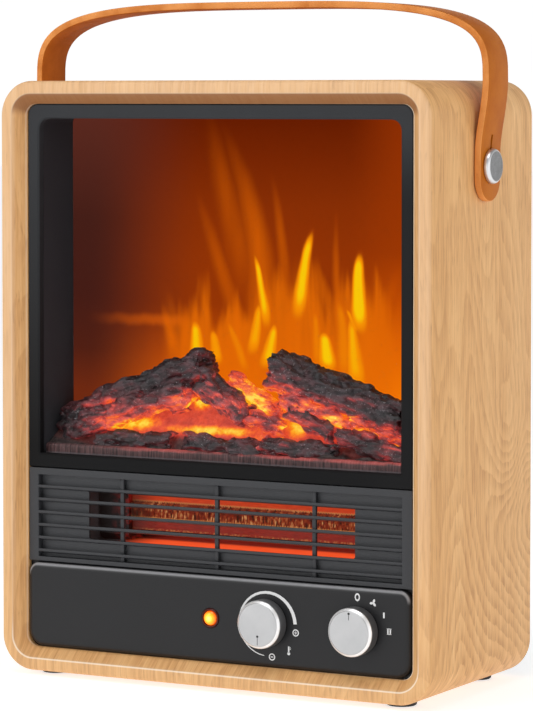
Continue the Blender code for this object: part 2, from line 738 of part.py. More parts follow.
def make_blower():
    axis = (back(BLOWER_DEPTH), up(BLOWER_HEIGHT))
    make_housing(axis)
    disc_t = 0.0012
    wheel = place("blower_wheel", wheel_disc(axis, -WHEEL_X, disc_t), dark_plastic(),
                  origin=(0.0, *axis))
    fuse(wheel, wheel_blades(axis))
    for x in (-disc_t / 2, WHEEL_X - disc_t):
        fuse(wheel, wheel_disc(axis, x, disc_t))
    place("blower_shaft", rod(0.0020, axis, -0.0980, 0.1200, "X", 16), satin_metal(),
          origin=(0.0, *axis), smooth_angle=40)
    bush = [(0.0023, -0.0950), (0.0040, -0.0950), (0.0040, -0.0925), (0.0052, -0.0925),
            (0.0052, -0.0905), (0.0023, -0.0905)]
    place("shaft_bush", turned(bush, axis, "X", 20, closed=True), brass(), smooth_angle=40)
    make_motor(axis)


def wheel_disc(axis, x, thickness):
    rim = [(0.0023, x), (WHEEL_R, x), (WHEEL_R, x + thickness), (0.0023, x + thickness)]
    return turned(rim, axis, "X", 24, closed=True)


def wheel_blades(axis):
    """Forward-swept blades between the wheel's discs."""
    blades = bmesh.new()
    for i in range(BLADES):
        turn = 2 * math.pi * i / BLADES
        path = []
        for radius, sweep in ((0.0158, 0.0), (0.0206, 0.14)):
            angle = turn + sweep
            path.append((axis[0] + radius * math.cos(angle), axis[1] + radius * math.sin(angle)))
        outline = thick_path(path, 0.0007)
        add_loft(blades, [[point(u, v, x, "X") for u, v in outline]
                          for x in (0.0004 - WHEEL_X, WHEEL_X - 0.0004)])
    return blades


def make_housing(axis):
    """End plates joined by a scroll over the wheel and a tongue under the duct."""
    end_in, end_out = 0.0890, 0.0904
    outline = [(back(d), up(z)) for d, z in ((0.0603, 0.0640), (0.1175, 0.0640), (0.1175, 0.1080),
                                             (0.1100, 0.1170), (0.0603, 0.1170))]
    housing = place("blower_housing", prism(outline, -end_out, -end_in, "X"), dark_plastic())
    fuse(housing, prism(outline, end_in, end_out, "X"))
    scroll = [(back(0.0609), up(0.1079)), (back(0.0720), up(0.1118))]
    for degrees in range(105, -16, -15):
        angle = math.radians(degrees)
        scroll.append((axis[0] + 0.0246 * math.cos(angle), axis[1] + 0.0246 * math.sin(angle)))
    tongue = [(back(d), up(z)) for d, z in ((0.0609, 0.0748), (0.0640, 0.0748), (0.0680, 0.0720),
                                            (0.0735, 0.0670))]
    for path in (scroll, tongue):
        fuse(housing, prism(thick_path(path, 0.0014), -end_in - 0.0005, end_in + 0.0005, "X"))
    cut(housing, rod(0.0055, axis, -0.100, 0.100, "X", 20))


def make_motor(axis):
    """A shaded-pole motor at the right end: an iron stack, its coil and its rotor."""
    near, far = 0.0960, 0.1080
    stack = box((near, far), (axis[0] - 0.0210, axis[0] + 0.0210),
                (axis[1] - 0.0360, axis[1] + 0.0200))
    core = place("motor_core", stack, iron())
    cut(core, rod(0.0112, axis, near - 0.001, far + 0.001, "X", 28))
    window = box((near - 0.001, far + 0.001), (axis[0] - 0.0120, axis[0] + 0.0120),
                 (axis[1] - 0.0290, axis[1] - 0.0160))
    cut(core, window)
    rings = []
    for x, y, z_low, z_high in ((near - 0.0050, 0.0108, 0.0405, 0.0180),
                                (far + 0.0050, 0.0108, 0.0405, 0.0180)):
        rings.append([(x, axis[0] - y, axis[1] - z_low), (x, axis[0] + y, axis[1] - z_low),
                      (x, axis[0] + y, axis[1] - z_high), (x, axis[0] - y, axis[1] - z_high)])
    coil = place("motor_coil", loft(rings), copper())
    cut(coil, box((near - GAP, far + GAP), (axis[0] - 0.0300, axis[0] + 0.0300),
                  (axis[1] - 0.0360 - GAP, axis[1] - 0.0290 + GAP)))
    rotor = [(0.0023, near - 0.0005), (0.0107, near - 0.0005), (0.0107, far + 0.0005),
             (0.0023, far + 0.0005)]
    place("motor_rotor", turned(rotor, axis, "X", 28, closed=True), steel(),
          origin=(0.0, *axis), smooth_angle=40)


# Electrical pieces on the floor of the casing

def make_electrics():
    floor = CASE_WALL + GAP
    switch = place("tip_over_switch", box((-0.060, -0.038), (back(0.070), back(0.092)),
                                          (up(floor), up(0.0200))), black_plastic())
    fuse(switch, rod(0.0085, (-0.049, back(0.081)), up(0.0195), up(0.0270), "Z", 20))
    block = place("terminal_block", box((0.020, 0.056), (back(0.096), back(0.112)),
                                        (up(floor), up(0.0190))), nylon())
    holes = bmesh.new()
    for i in range(3):
        add_loft(holes, [[point(u, v, along, "Z") for u, v in
                          circle(0.0030, (0.0265 + 0.0115 * i, back(0.104)), 12)]
                         for along in (up(0.0110), up(0.0200))])
    cut(block, holes)
    power = place("power_board", box((-0.112, -0.024), (back(0.0400), back(0.0416)),
                                     (up(0.0110), up(0.0600))), board())
    for x, half, height, tall in ((-0.095, 0.008, 0.030, 0.016), (-0.070, 0.010, 0.034, 0.014),
                                  (-0.042, 0.007, 0.026, 0.010)):
        fuse(power, box((x - half, x + half), (back(0.0412), back(0.0416 + tall)),
                        (up(height - 0.010), up(height + 0.010))))


# The strap handle

def strap_path():
    """Inner face of the strap as (x, height) from its right end up and over to its left end."""
    low = STUD_HEIGHT - STRAP_END
    half = [(STRAP_FOOT_X, low + drop) for drop in
            (0.0002, 0.0010, 0.0025, 0.0050, 0.0085, 0.0130, 0.0195, 0.0250)]
    start = half[-1][1]
    for step in range(1, 7):
        share = step / 7
        ease = share * share * (3 - 2 * share)
        half.append((STRAP_FOOT_X + (STRAP_ARCH_X - STRAP_FOOT_X) * ease,
                     start + (STRAP_ARCH_LOW - start) * share))
    arch = []
    steps = 22
    for step in range(steps + 1):
        turn = math.pi * step / steps
        c, s = math.cos(turn), max(math.sin(turn), 0.0)
        arch.append((STRAP_ARCH_X * math.copysign(abs(c) ** (2 / STRAP_POWER), c),
                     STRAP_ARCH_LOW + STRAP_RISE * s ** (2 / STRAP_POWER)))
    return half + arch + [(-x, z) for x, z in reversed(half)]


def make_strap():
    path = strap_path()
    pivot = up(STUD_HEIGHT)
    low = STUD_HEIGHT - STRAP_END
    rings = []
    for i, (x, z) in enumerate(path):
        before, after = path[max(i - 1, 0)], path[min(i + 1, len(path) - 1)]
        along = Vector((after[0] - before[0], after[1] - before[1])).normalized()
        out = Vector((along.y, -along.x))
        from_end = z - low
        end_r = STRAP_W / 2
        half = end_r if from_end >= end_r else math.sqrt(end_r ** 2 - (end_r - from_end) ** 2)
        outer = Vector((x, z)) + out * STRAP_T
        rings.append([(flat.x, y, up(flat.y)) for flat, y in
                      ((Vector((x, z)), -half), (Vector((x, z)), half),
                       (outer, half), (outer, -half))])
    strap = place("handle_strap", loft(rings), leather(), origin=(0.0, 0.0, pivot),
                  smooth_angle=50)
    # a keyhole: a round hole for the stud with a slit above it
    slit, top, hole_r = 0.0006, pivot + 0.0175, 0.0032
    start = math.asin(slit / hole_r)
    keyhole = [(slit, top), (-slit, top)]
    for step in range(17):
        angle = math.pi / 2 + start + (2 * math.pi - 2 * start) * step / 16
        keyhole.append((hole_r * math.cos(angle), pivot + hole_r * math.sin(angle)))
    cut(strap, prism(keyhole, -CASE_W, CASE_W, "X"))


def make_studs():
    centre = (0.0, up(STUD_HEIGHT))
    seat = STRAP_FOOT_X + STRAP_T + GAP
    inside = CASE_W / 2 - CASE_WALL
    for side, name in ((-1, "left"), (1, "right")):
        profile = [(0.0080, seat + 0.0034), (0.0089, seat + 0.0032), (0.0096, seat + 0.0024),
                   (0.0098, seat + 0.0014), (0.0098, seat + 0.0004), (0.0094, seat),
                   (0.0025, seat), (0.0025, inside - 0.0070)]
        place("stud_" + name, turned([(r, side * x) for r, x in profile], centre, "X", 22),
              satin_metal(), smooth_angle=40)
        nut = [(0.0028, inside - 0.0056), (0.0052, inside - 0.0056),
               (0.0052, inside - 0.0016), (0.0072, inside - 0.0010),
               (0.0072, inside - GAP), (0.0028, inside - GAP)]
        place("stud_nut_" + name, nut_mesh([(r, side * x) for r, x in nut], centre), steel())


def nut_mesh(profile, centre):
    """A six-sided flanged nut with a round bore, on the x axis."""
    sides = 24
    rings = []
    for radius, along in profile:
        ring = []
        for i in range(sides):
            angle = 2 * math.pi * i / sides
            if radius > 0.004:
                from_flat = math.fmod(angle, math.pi / 3) - math.pi / 6
                reach = radius * math.cos(math.pi / 6) / math.cos(from_flat)
            else:
                reach = radius
            ring.append((along, centre[0] + reach * math.cos(angle),
                         centre[1] + reach * math.sin(angle)))
        rings.append(ring)
    return loft(rings, closed=True)


def main():
    for obj in list(bpy.data.objects):
        bpy.data.objects.remove(obj, do_unlink=True)
    make_casing()
    make_rear_cover()
    make_cord_gland()
    make_feet()
    make_bezel()
    make_pane()
    make_grille()
    make_duct_plate()
    make_control_panel()
    make_knob("thermostat", THERMOSTAT_X)
    make_knob("mode", MODE_X)
    make_switch_bodies()
    make_lamp()
    make_liner()
    make_log_bed()
    make_flame_unit()
    make_shelves()
    make_duct()
    make_core()
    make_blower()
    make_electrics()
    make_strap()
    make_studs()


main()
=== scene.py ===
import bmesh
import bpy
import json
import math

from mathutils import Matrix, Vector, noise

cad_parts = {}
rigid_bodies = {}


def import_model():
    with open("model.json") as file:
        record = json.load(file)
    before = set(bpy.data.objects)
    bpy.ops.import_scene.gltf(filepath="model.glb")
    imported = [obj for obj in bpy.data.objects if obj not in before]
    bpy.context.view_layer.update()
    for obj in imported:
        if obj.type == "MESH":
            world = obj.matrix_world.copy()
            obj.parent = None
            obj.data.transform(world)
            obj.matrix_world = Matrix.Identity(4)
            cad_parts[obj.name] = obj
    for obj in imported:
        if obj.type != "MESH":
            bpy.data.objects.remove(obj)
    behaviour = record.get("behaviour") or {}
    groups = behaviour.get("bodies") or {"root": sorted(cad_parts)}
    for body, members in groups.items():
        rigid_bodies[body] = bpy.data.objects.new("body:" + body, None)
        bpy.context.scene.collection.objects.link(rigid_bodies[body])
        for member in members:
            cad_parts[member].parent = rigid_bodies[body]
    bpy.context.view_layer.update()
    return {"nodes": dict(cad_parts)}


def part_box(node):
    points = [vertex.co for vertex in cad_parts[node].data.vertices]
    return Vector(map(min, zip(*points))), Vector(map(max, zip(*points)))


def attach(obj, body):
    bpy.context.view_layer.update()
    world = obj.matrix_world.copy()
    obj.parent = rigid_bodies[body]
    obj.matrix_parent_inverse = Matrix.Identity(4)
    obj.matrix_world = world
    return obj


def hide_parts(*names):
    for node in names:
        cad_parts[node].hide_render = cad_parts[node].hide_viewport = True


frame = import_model()
nodes = frame["nodes"]
bpy.context.scene.view_settings.view_transform = "Standard"
print("frame loaded:", len(nodes), "nodes")

caseLow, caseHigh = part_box("wood_casing")
frontY = caseLow.y            # the plane of the front rim
rearY = caseHigh.y
underside = caseLow.z


def back(depth):
    return frontY + depth


def up(height):
    return underside + height


def middleOf(node):
    low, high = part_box(node)
    return (low + high) / 2


# Modelling helpers

turnTo = {"X": (0, math.pi / 2, 0), "Y": (math.pi / 2, 0, 0), "Z": (0, 0, 0)}   # from +Z to an axis


def clearSelection():
    if bpy.context.object and bpy.context.object.mode != "OBJECT":
        bpy.ops.object.mode_set(mode="OBJECT")
    bpy.ops.object.select_all(action="DESELECT")


def settle():
    bpy.ops.object.transform_apply(location=True, rotation=True, scale=True)


def named(name):
    piece = bpy.context.object
    piece.name = name
    piece.data.name = name
    return piece


def choose(piece):
    clearSelection()
    piece.select_set(True)
    bpy.context.view_layer.objects.active = piece


def startEdit(piece):
    choose(piece)
    bpy.ops.object.mode_set(mode="EDIT")


def endEdit(smoothAngle=None):
    bpy.ops.object.mode_set(mode="OBJECT")
    if smoothAngle is not None:
        bpy.ops.object.shade_smooth_by_angle(angle=math.radians(smoothAngle))


def pick(piece, kind, wanted):
    # select in edit mode what wanted(element) says
    bpy.ops.mesh.select_mode(type=kind)
    bpy.ops.mesh.select_all(action="DESELECT")
    mesh = bmesh.from_edit_mesh(piece.data)
    for element in {"VERT": mesh.verts, "EDGE": mesh.edges, "FACE": mesh.faces}[kind]:
        if wanted(element):
            element.select_set(True)
    mesh.select_flush_mode()
    bmesh.update_edit_mesh(piece.data)


def pickFaces(piece, test):
    # test takes a face's middle and its normal
    pick(piece, "FACE", lambda face: test(face.calc_center_median(), face.normal))


def pickEdges(piece, test):
    # test takes an edge's middle and its direction
    def wanted(edge):
        first, second = (corner.co for corner in edge.verts)
        return test((first + second) / 2, (second - first).normalized())
    pick(piece, "EDGE", wanted)


def pickCorners(piece, test):
    pick(piece, "VERT", lambda corner: test(corner.co))


def addBlock(name, low, high):
    clearSelection()
    low, high = Vector(low), Vector(high)
    bpy.ops.mesh.primitive_cube_add(size=1, location=(low + high) / 2)
    bpy.context.object.scale = high - low
    settle()
    return named(name)


def applyModifier(piece, kind, name, **settings):
    choose(piece)
    modifier = piece.modifiers.new(name, kind)
    for key, value in settings.items():
        setattr(modifier, key, value)
    bpy.ops.object.modifier_apply(modifier=name)


def cutAway(piece, tool):
    applyModifier(piece, "BOOLEAN", "opening", operation="DIFFERENCE", solver="EXACT", object=tool)
    bpy.data.objects.remove(tool, do_unlink=True)


def softenEdges(piece, width, segments=2, angle=40):
    applyModifier(piece, "BEVEL", "softEdges", width=width, segments=segments,
                  limit_method="ANGLE", angle_limit=math.radians(angle))
    bpy.ops.object.shade_smooth_by_angle(angle=math.radians(35))


def joinPieces(pieces, name):
    clearSelection()
    for piece in pieces:
        piece.select_set(True)
    bpy.context.view_layer.objects.active = pieces[0]
    bpy.ops.object.join()
    return named(name)


def copyOf(piece, shift):
    choose(piece)
    bpy.ops.object.duplicate()
    bpy.context.object.location = shift
    settle()
    return bpy.context.object


def onAxis(centre, axis, along):
    place = list(centre)
    place.insert("XYZ".index(axis), along)
    return Vector(place)


def addRod(name, radius, centre, axis, start, end, sides=48):
    clearSelection()
    bpy.ops.mesh.primitive_cylinder_add(vertices=sides, radius=radius, depth=abs(end - start),
                                        location=onAxis(centre, axis, (start + end) / 2),
                                        rotation=turnTo[axis])
    settle()
    return named(name)


def turnPiece(name, rings, centre, axis, sides=64, smoothAngle=32):
    # rings are (radius, place along the axis); each one is extruded and widened from the last
    clearSelection()
    number = "XYZ".index(axis)
    radius, along = rings[0]
    bpy.ops.mesh.primitive_circle_add(vertices=sides, radius=radius, fill_type="NOTHING",
                                      location=onAxis(centre, axis, along), rotation=turnTo[axis])
    settle()
    piece = named(name)
    startEdit(piece)
    bpy.ops.mesh.select_mode(type="EDGE")
    bpy.ops.mesh.select_all(action="SELECT")
    for (before, was), (after, now) in zip(rings, rings[1:]):
        step = [0.0, 0.0, 0.0]
        step[number] = now - was
        size = [after / before] * 3
        size[number] = 1.0
        bpy.ops.mesh.extrude_region_move(TRANSFORM_OT_translate={"value": step})
        bpy.ops.transform.resize(value=size, center_override=onAxis(centre, axis, now))
    if rings[0] == rings[-1]:
        bpy.ops.mesh.select_all(action="SELECT")
        bpy.ops.mesh.remove_doubles(threshold=0.00001)
    else:
        bpy.ops.mesh.edge_face_add()
        first = rings[0][1]
        pickEdges(piece, lambda mid, way: abs(mid[number] - first) < 1e-6
                  and (mid - onAxis(centre, axis, first)).length > rings[0][0] * 0.98)
        bpy.ops.mesh.edge_face_add()
    bpy.ops.mesh.select_all(action="SELECT")
    bpy.ops.mesh.normals_make_consistent(inside=False)
    endEdit(smoothAngle)
    return piece


def markCorners(piece, name, values):
    # a number for each corner of a mesh, kept in a UV map of its own
    marks = piece.data.uv_layers.new(name=name)
    for loop in piece.data.loops:
        marks.data[loop.index].uv = (values[loop.vertex_index], 0.5)


def dress(piece, material, body, slot, *stoodFor):
    piece.data.materials.clear()
    piece.data.materials.append(material)
    settleOn(piece, body, slot, *stoodFor)


def settleOn(piece, body, slot, *stoodFor):
    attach(piece, body)
    if stoodFor:
        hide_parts(*stoodFor)


# Finish helpers

def tone(red, green, blue):
    shares = [part / 255 for part in (red, green, blue)]
    return tuple(((s + 0.055) / 1.055) ** 2.4 if s > 0.04 else s / 12.92 for s in shares) + (1.0,)


def dimmed(colour, share):
    return tuple(part * share for part in colour)


class Wire:
    # a socket that takes part in sums: every expression adds its Math node
    def __init__(self, finish, socket):
        self.finish = finish
        self.socket = socket

    def __add__(self, other):
        return self.finish.sum("ADD", self, other)

    def __sub__(self, other):
        return self.finish.sum("SUBTRACT", self, other)

    def __rsub__(self, other):
        return self.finish.sum("SUBTRACT", other, self)

    def __mul__(self, other):
        return self.finish.sum("MULTIPLY", self, other)

    def __truediv__(self, other):
        return self.finish.sum("DIVIDE", self, other)

    def __pow__(self, other):
        return self.finish.sum("POWER", self, other)

    __radd__ = __add__
    __rmul__ = __mul__


class Finish:
    def __init__(self, name):
        self.material = bpy.data.materials.new(name)
        self.material.use_nodes = True
        self.tree = self.material.node_tree
        self.tree.nodes.clear()
        self.place = self.node("ShaderNodeTexCoord", output="Object")

    def node(self, kind, settings=None, inputs=None, output=0):
        made = self.tree.nodes.new(kind)
        for key, value in (settings or {}).items():
            if key == "stops":
                self.setStops(made.color_ramp, value)
            else:
                setattr(made, key, value)
        for key, value in (inputs or {}).items():
            if isinstance(value, Wire):
                self.tree.links.new(value.socket, made.inputs[key])
            elif made.inputs[key].type == "RGBA" and len(value) == 3:
                made.inputs[key].default_value = tone(*value)
            else:
                made.inputs[key].default_value = value
        return Wire(self, made.outputs[output]) if made.outputs else None

    def setStops(self, ramp, stops):
        while len(ramp.elements) < len(stops):
            ramp.elements.new(1.0)
        for element, (position, colour) in zip(ramp.elements, stops):
            element.position = position
            element.color = tone(*colour)

    def sum(self, operation, first, second=0.0):
        return self.node("ShaderNodeMath", {"operation": operation}, {0: first, 1: second})

    def size(self, value):
        return self.sum("ABSOLUTE", value)

    def rise(self, value, low, high):
        return self.node("ShaderNodeMapRange", {"interpolation_type": "SMOOTHSTEP"},
                         {"Value": value, "From Min": low, "From Max": high})

    def ramp(self, value, *stops):
        return self.node("ShaderNodeValToRGB", {"stops": stops}, {0: value})

    def blend(self, share, first, second):
        return self.node("ShaderNodeMix", {"data_type": "RGBA"}, {0: share, 6: first, 7: second}, 2)

    def stretched(self, sizes, vector=None):
        # one number scales all three axes alike
        sizes = sizes if isinstance(sizes, tuple) else (sizes,) * 3
        return self.node("ShaderNodeVectorMath", {"operation": "MULTIPLY"},
                         {0: vector or self.place, 1: sizes})

    def cloud(self, sizes, detail=2.0, rough=0.5, vector=None, warp=0.0):
        return self.node("ShaderNodeTexNoise", None,
                         {"Vector": self.stretched(sizes, vector), "Scale": 1.0, "Detail": detail,
                          "Roughness": rough, "Distortion": warp})

    def cells(self, sizes, output=0, feature="F1", vector=None):
        return self.node("ShaderNodeTexVoronoi", {"feature": feature},
                         {"Vector": self.stretched(sizes, vector), "Scale": 1.0}, output)

    def axes(self, vector=None):
        parts = self.tree.nodes.new("ShaderNodeSeparateXYZ")
        self.tree.links.new((vector or self.place).socket, parts.inputs[0])
        return [Wire(self, socket) for socket in parts.outputs]

    def mark(self, name):
        return self.axes(self.node("ShaderNodeUVMap", {"uv_map": name}))[0]

    def bump(self, height, distance, strength=1.0):
        return self.node("ShaderNodeBump", None,
                         {"Height": height, "Distance": distance, "Strength": strength})

    def surface(self, colour, rough, normal=None, light=None, strength=1.0, metallic=0.0, specular=0.5):
        inputs = {"Base Color": colour, "Roughness": rough, "Metallic": metallic,
                  "Specular IOR Level": specular}
        if normal:
            inputs["Normal"] = normal
        if light:
            inputs["Emission Color"] = light
            inputs["Emission Strength"] = strength
        shader = self.node("ShaderNodeBsdfPrincipled", None, inputs)
        self.node("ShaderNodeOutputMaterial", None, {"Surface": shader})
        return self.material


# Finishes

casing = {"cornerRadius": 0.020, "cornerSteps": 16, "edgeRadius": 0.0024, "rim": 0.0072,
          "slopeDepth": 0.0070, "lipX": 0.0140, "lipZ": 0.0131, "lipBack": 0.0100,
          "wall": 0.0060, "rebate": 0.0040, "crease": 0.0007, "insetScale": 20.0,
          "studHole": 0.0028, "rearRound": 0.0015, "coverGap": 0.0003}
oak = {"pale": (238, 190, 130), "middle": (222, 169, 108), "deep": (194, 141, 84),
       "pore": (142, 94, 50), "crease": (255, 244, 224), "rim": (224, 186, 148),
       "shade": (138, 84, 42), "line": (168, 110, 58), "rough": 0.5, "rings": 30,
       "whorl": (0.140, 0.118), "whorlRings": 155, "whorlSquash": 0.85}


def oakFinish():
    finish = Finish("oakFilm")
    grain = finish.node("ShaderNodeUVMap", {"uv_map": "grain"})
    flow = finish.cloud((16, 2.6, 1), 1.5, 0.4, grain, 0.3)
    shiver = finish.cloud((220, 9, 1), 1, 0.5, grain)
    # low on the right side the rings sweep round a whorl near the back edge
    across, along = finish.axes(grain)[:2]
    drop = (along - oak["whorl"][1]) * oak["whorlSquash"]
    whorl = ((across - oak["whorl"][0]) ** 2 + drop ** 2) ** 0.5 + (flow - 0.5) * 0.03
    near = finish.rise(across, 0.0, 0.045) * finish.rise(across, 0.25, 0.2)
    near = near * finish.rise(along, 0.165, 0.075)
    turns = (flow - 0.5) * oak["rings"] * (1 - near) + (whorl - 0.10) * oak["whorlRings"] * near
    rings = finish.sum("FRACT", turns + shiver * 0.5)
    rings = finish.rise(rings, 0.1, 0.9) * finish.rise(rings, 1.0, 0.93)
    streak = finish.cloud((620, 11, 1), 4, 0.62, grain)
    fine = finish.cloud((2200, 46, 1), 2, 0.6, grain)
    pores = finish.rise(finish.cloud((1500, 75, 1), 2, 0.55, grain), 0.60, 0.72)
    band = finish.rise(finish.cloud((48, 1.5, 1), 2, 0.5, grain), 0.3, 0.7)
    light = streak * 0.56 + fine * 0.3 + band * 0.14 + (0.5 - rings) * 0.06
    colour = finish.ramp(light, (0.26, oak["deep"]), (0.48, oak["middle"]),
                         (0.70, oak["pale"]))
    strokes = rings * finish.rise(finish.cloud((700, 60, 1), 2, 0.6, grain), 0.38, 0.62)
    colour = finish.blend(strokes * (0.24 + near * 0.2), colour, oak["line"])
    colour = finish.blend(pores * 0.42, colour, oak["pore"])
    x, y, z = finish.axes()
    # painted highlight: the front rim turns paler, most towards the top, where it faces the light
    front = finish.rise(y, back(0.0024), back(0.0002)) * (0.1 + streak * 0.9)
    front = front * (finish.rise(z, up(0.010), up(0.150)) * 0.65 + 0.35)
    colour = finish.blend(front, colour, oak["rim"])
    # painted shade on the inner slope, deepest where it faces down
    colour = finish.blend(finish.mark("shade") * 0.85, colour, oak["shade"])
    # painted highlights: a soft pale line along the rim's foot, strongest towards the bottom, and a
    # brighter one at the slope's end on the right, where the rounded edges catch the light
    inset = finish.mark("inset") / casing["insetScale"]
    outer = finish.rise(finish.size(inset - casing["rim"]), 0.0006, 0.0002)
    outer = outer * (finish.rise(z, up(0.034), up(0.012)) * 0.5 + 0.12)
    inner = finish.rise(finish.size(inset - casing["lipX"] + 0.0006), 0.0005, 0.0001)
    inner = inner * (finish.rise(x, 0.0, 0.11) * 0.6 + 0.2)
    foot = back(casing["slopeDepth"])
    crease = finish.sum("MAXIMUM", outer, inner) * finish.rise(y, foot + 0.0010, foot + 0.0004)
    colour = finish.blend(crease, colour, oak["crease"])
    return finish.surface(colour, oak["rough"] + fine * 0.1,
                          finish.bump(streak * 0.4 + fine * 0.6 - pores * 0.8, 0.00012), specular=0.4)


def plasticFinish(name, colour, rough=0.42, pebble=1500, depth=0.00004, worn=(78, 78, 82)):
    # moulded plastic: a fine pebble, faint handling marks and slow variation of sheen
    finish = Finish(name)
    grain = finish.cells(pebble)
    slow = finish.cloud(26, 3, 0.6)
    rub = finish.rise(finish.cloud((90, 90, 240), 4, 0.7), 0.58, 0.85)
    base = finish.blend(slow * 0.25, colour, dimmed(colour, 0.86))
    base = finish.blend(rub * 0.10, base, worn)
    return finish.surface(base, rough - 0.05 + slow * 0.1 + rub * 0.05, finish.bump(grain, depth),
                          specular=0.34)


def panelFinish():
    # smooth dark panel; along the rounding of its top edge and upper corner a paler line is painted in as a
    # highlight
    finish = Finish("controlPlastic")
    y, z = finish.axes()[1:]
    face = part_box("control_panel")[0].y
    grain = finish.cells(1500)
    slow = finish.cloud(26, 3, 0.6)
    base = finish.blend(slow * 0.3, (28, 28, 30), (24, 24, 26))
    # painted highlight along the rounded top edge and upper corner
    edge = finish.rise(y, face + 0.0002, face + 0.0007) * finish.rise(y, face + 0.0018, face + 0.0010)
    above = finish.rise(z, up(0.0540), up(0.0585))
    base = finish.blend(edge * above * 0.8, base, (150, 150, 153))
    return finish.surface(base, 0.3 + slow * 0.1, finish.bump(grain, 0.00003), specular=0.32)


def bezelFinish():
    # the window's frame: dark grey, turning near-black on its lower bar; the paler grey towards the top is
    # a painted reflection of the light from above
    finish = Finish("bezelPlastic")
    x, z = finish.axes()[::2]
    low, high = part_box("window_bezel")
    grain = finish.cells(1100)
    slow = finish.cloud(26, 3, 0.6)
    base = finish.ramp((z - low.z) / (high.z - low.z), (0.06, (14, 14, 15)), (0.14, (22, 22, 23)),
                       (0.5, (42, 43, 45)), (1.0, (58, 60, 63)))
    dim = finish.rise(x, 0.090, 0.114) * finish.rise(z, high.z - 0.012, high.z - 0.060)
    base = finish.blend(dim * 0.8, base, (20, 20, 21))
    base = finish.blend(slow * 0.25, base, (22, 22, 24))
    return finish.surface(base, 0.5 + slow * 0.1, finish.bump(grain, 0.00005), specular=0.12)


def metalFinish(name, colour, rough=0.32, brush=(60, 1800, 60), depth=0.00003):
    finish = Finish(name)
    lines = finish.cloud(brush, 3, 0.6)
    slow = finish.cloud(55, 3, 0.6)
    base = finish.blend(lines * 0.35, colour, dimmed(colour, 0.8))
    base = finish.blend(finish.rise(slow, 0.5, 0.8) * 0.25, base,
                        dimmed(colour, 0.7))
    return finish.surface(base, rough - 0.06 + lines * 0.14 + slow * 0.06, finish.bump(lines, depth),
                          metallic=1.0)


def knobFinish():
    # satin face with a painted highlight on the chamfer and a darker skirt
    finish = Finish("satinKnob")
    y = finish.axes()[1]
    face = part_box("mode_knob")[0].y
    slow = finish.cloud(70, 3, 0.6)
    blast = finish.cloud(3800, 2, 0.6)
    base = finish.ramp(slow * 0.6 + blast * 0.4, (0.3, (184, 185, 186)), (0.7, (200, 200, 201)))
    base = finish.blend(finish.rise(y, face + 0.0002, face + 0.0005), base, (250, 250, 250))
    base = finish.blend(finish.rise(y, face + 0.0014, face + 0.0022), base, (132, 132, 134))
    return finish.surface(base, 0.34 + blast * 0.12, finish.bump(blast, 0.00002), metallic=0.75)


def leatherFinish(name, colour, deep, rough=0.5, fibre=False):
    finish = Finish(name)
    slow = finish.cloud(34, 4, 0.6)
    if fibre:
        grain = finish.cloud((500, 2600, 500), 3, 0.7)
    else:
        grain = finish.cells(1250, feature="DISTANCE_TO_EDGE")
    speck = finish.rise(finish.cloud(900, 2, 0.7), 0.62, 0.8)
    base = finish.blend(finish.rise(slow, 0.35, 0.7), colour, deep)
    base = finish.blend(speck * 0.25, base, dimmed(deep, 0.72))
    return finish.surface(base, rough + slow * 0.12,
                          finish.bump(grain, 0.00012 if fibre else 0.00009, 0.7), specular=0.12)


def boardFinish():
    # circuit board: green resist over a faint track pattern and small solder pads
    finish = Finish("circuitBoard")
    tracks = finish.cells(160, feature="DISTANCE_TO_EDGE")
    line = finish.rise(tracks, 0.10, 0.05)
    pads = finish.rise(finish.cells(210), 0.16, 0.12)
    speck = finish.cloud(900, 2, 0.6)
    base = finish.blend(speck * 0.5, (22, 84, 50), (30, 104, 62))
    base = finish.blend(line * 0.6, base, (52, 134, 82))
    base = finish.blend(pads, base, (186, 188, 184))
    return finish.surface(base, 0.46 - pads * 0.14, finish.bump(line + pads * 2, 0.00004),
                          metallic=pads * 0.9)


def woundFinish():
    # enamelled wire laid in close turns
    finish = Finish("woundCopper")
    z = finish.axes()[2]
    turns = finish.size(finish.sum("SINE", z * 4200 + finish.cloud(90) * 3))
    slow = finish.cloud(120, 3, 0.6)
    base = finish.blend(slow, (150, 74, 34), (200, 116, 62))
    base = finish.blend((1 - turns) * 0.7, base, (70, 32, 16))
    return finish.surface(base, 0.36 + slow * 0.1, finish.bump(turns, 0.0002), metallic=0.85)


def laminateFinish():
    # stamped motor iron: thin sheets stacked along x, with blued and rusty patches
    finish = Finish("stackedIron")
    x = finish.axes()[0]
    sheets = finish.size(finish.sum("SINE", x * 6280))
    slow = finish.cloud(140, 4, 0.65)
    base = finish.blend(slow, (70, 72, 80), (120, 118, 116))
    base = finish.blend((1 - sheets) * 0.5, base, (36, 34, 34))
    base = finish.blend(finish.rise(slow, 0.6, 0.75) * 0.5, base, (116, 78, 52))
    return finish.surface(base, 0.45 + slow * 0.15, finish.bump(sheets, 0.00012), metallic=0.8)


def paneFinish():
    finish = Finish("clearPane")
    clear = finish.node("ShaderNodeBsdfTransparent", None, {"Color": (0.97, 0.97, 0.97, 1.0)})
    dust = finish.rise(finish.cloud(420, 3, 0.7), 0.6, 0.9)
    gloss = finish.node("ShaderNodeBsdfPrincipled", None, {
        "Base Color": finish.blend(dust * 0.3, (18, 18, 20), (60, 58, 56)),
        "Roughness": 0.06 + dust * 0.12})
    share = finish.node("ShaderNodeFresnel", None, {"IOR": 1.45}) * 0.06 + dust * 0.002
    mixed = finish.node("ShaderNodeMixShader", None, {0: share, 1: clear, 2: gloss})
    finish.node("ShaderNodeOutputMaterial", None, {"Surface": mixed})
    return finish.material


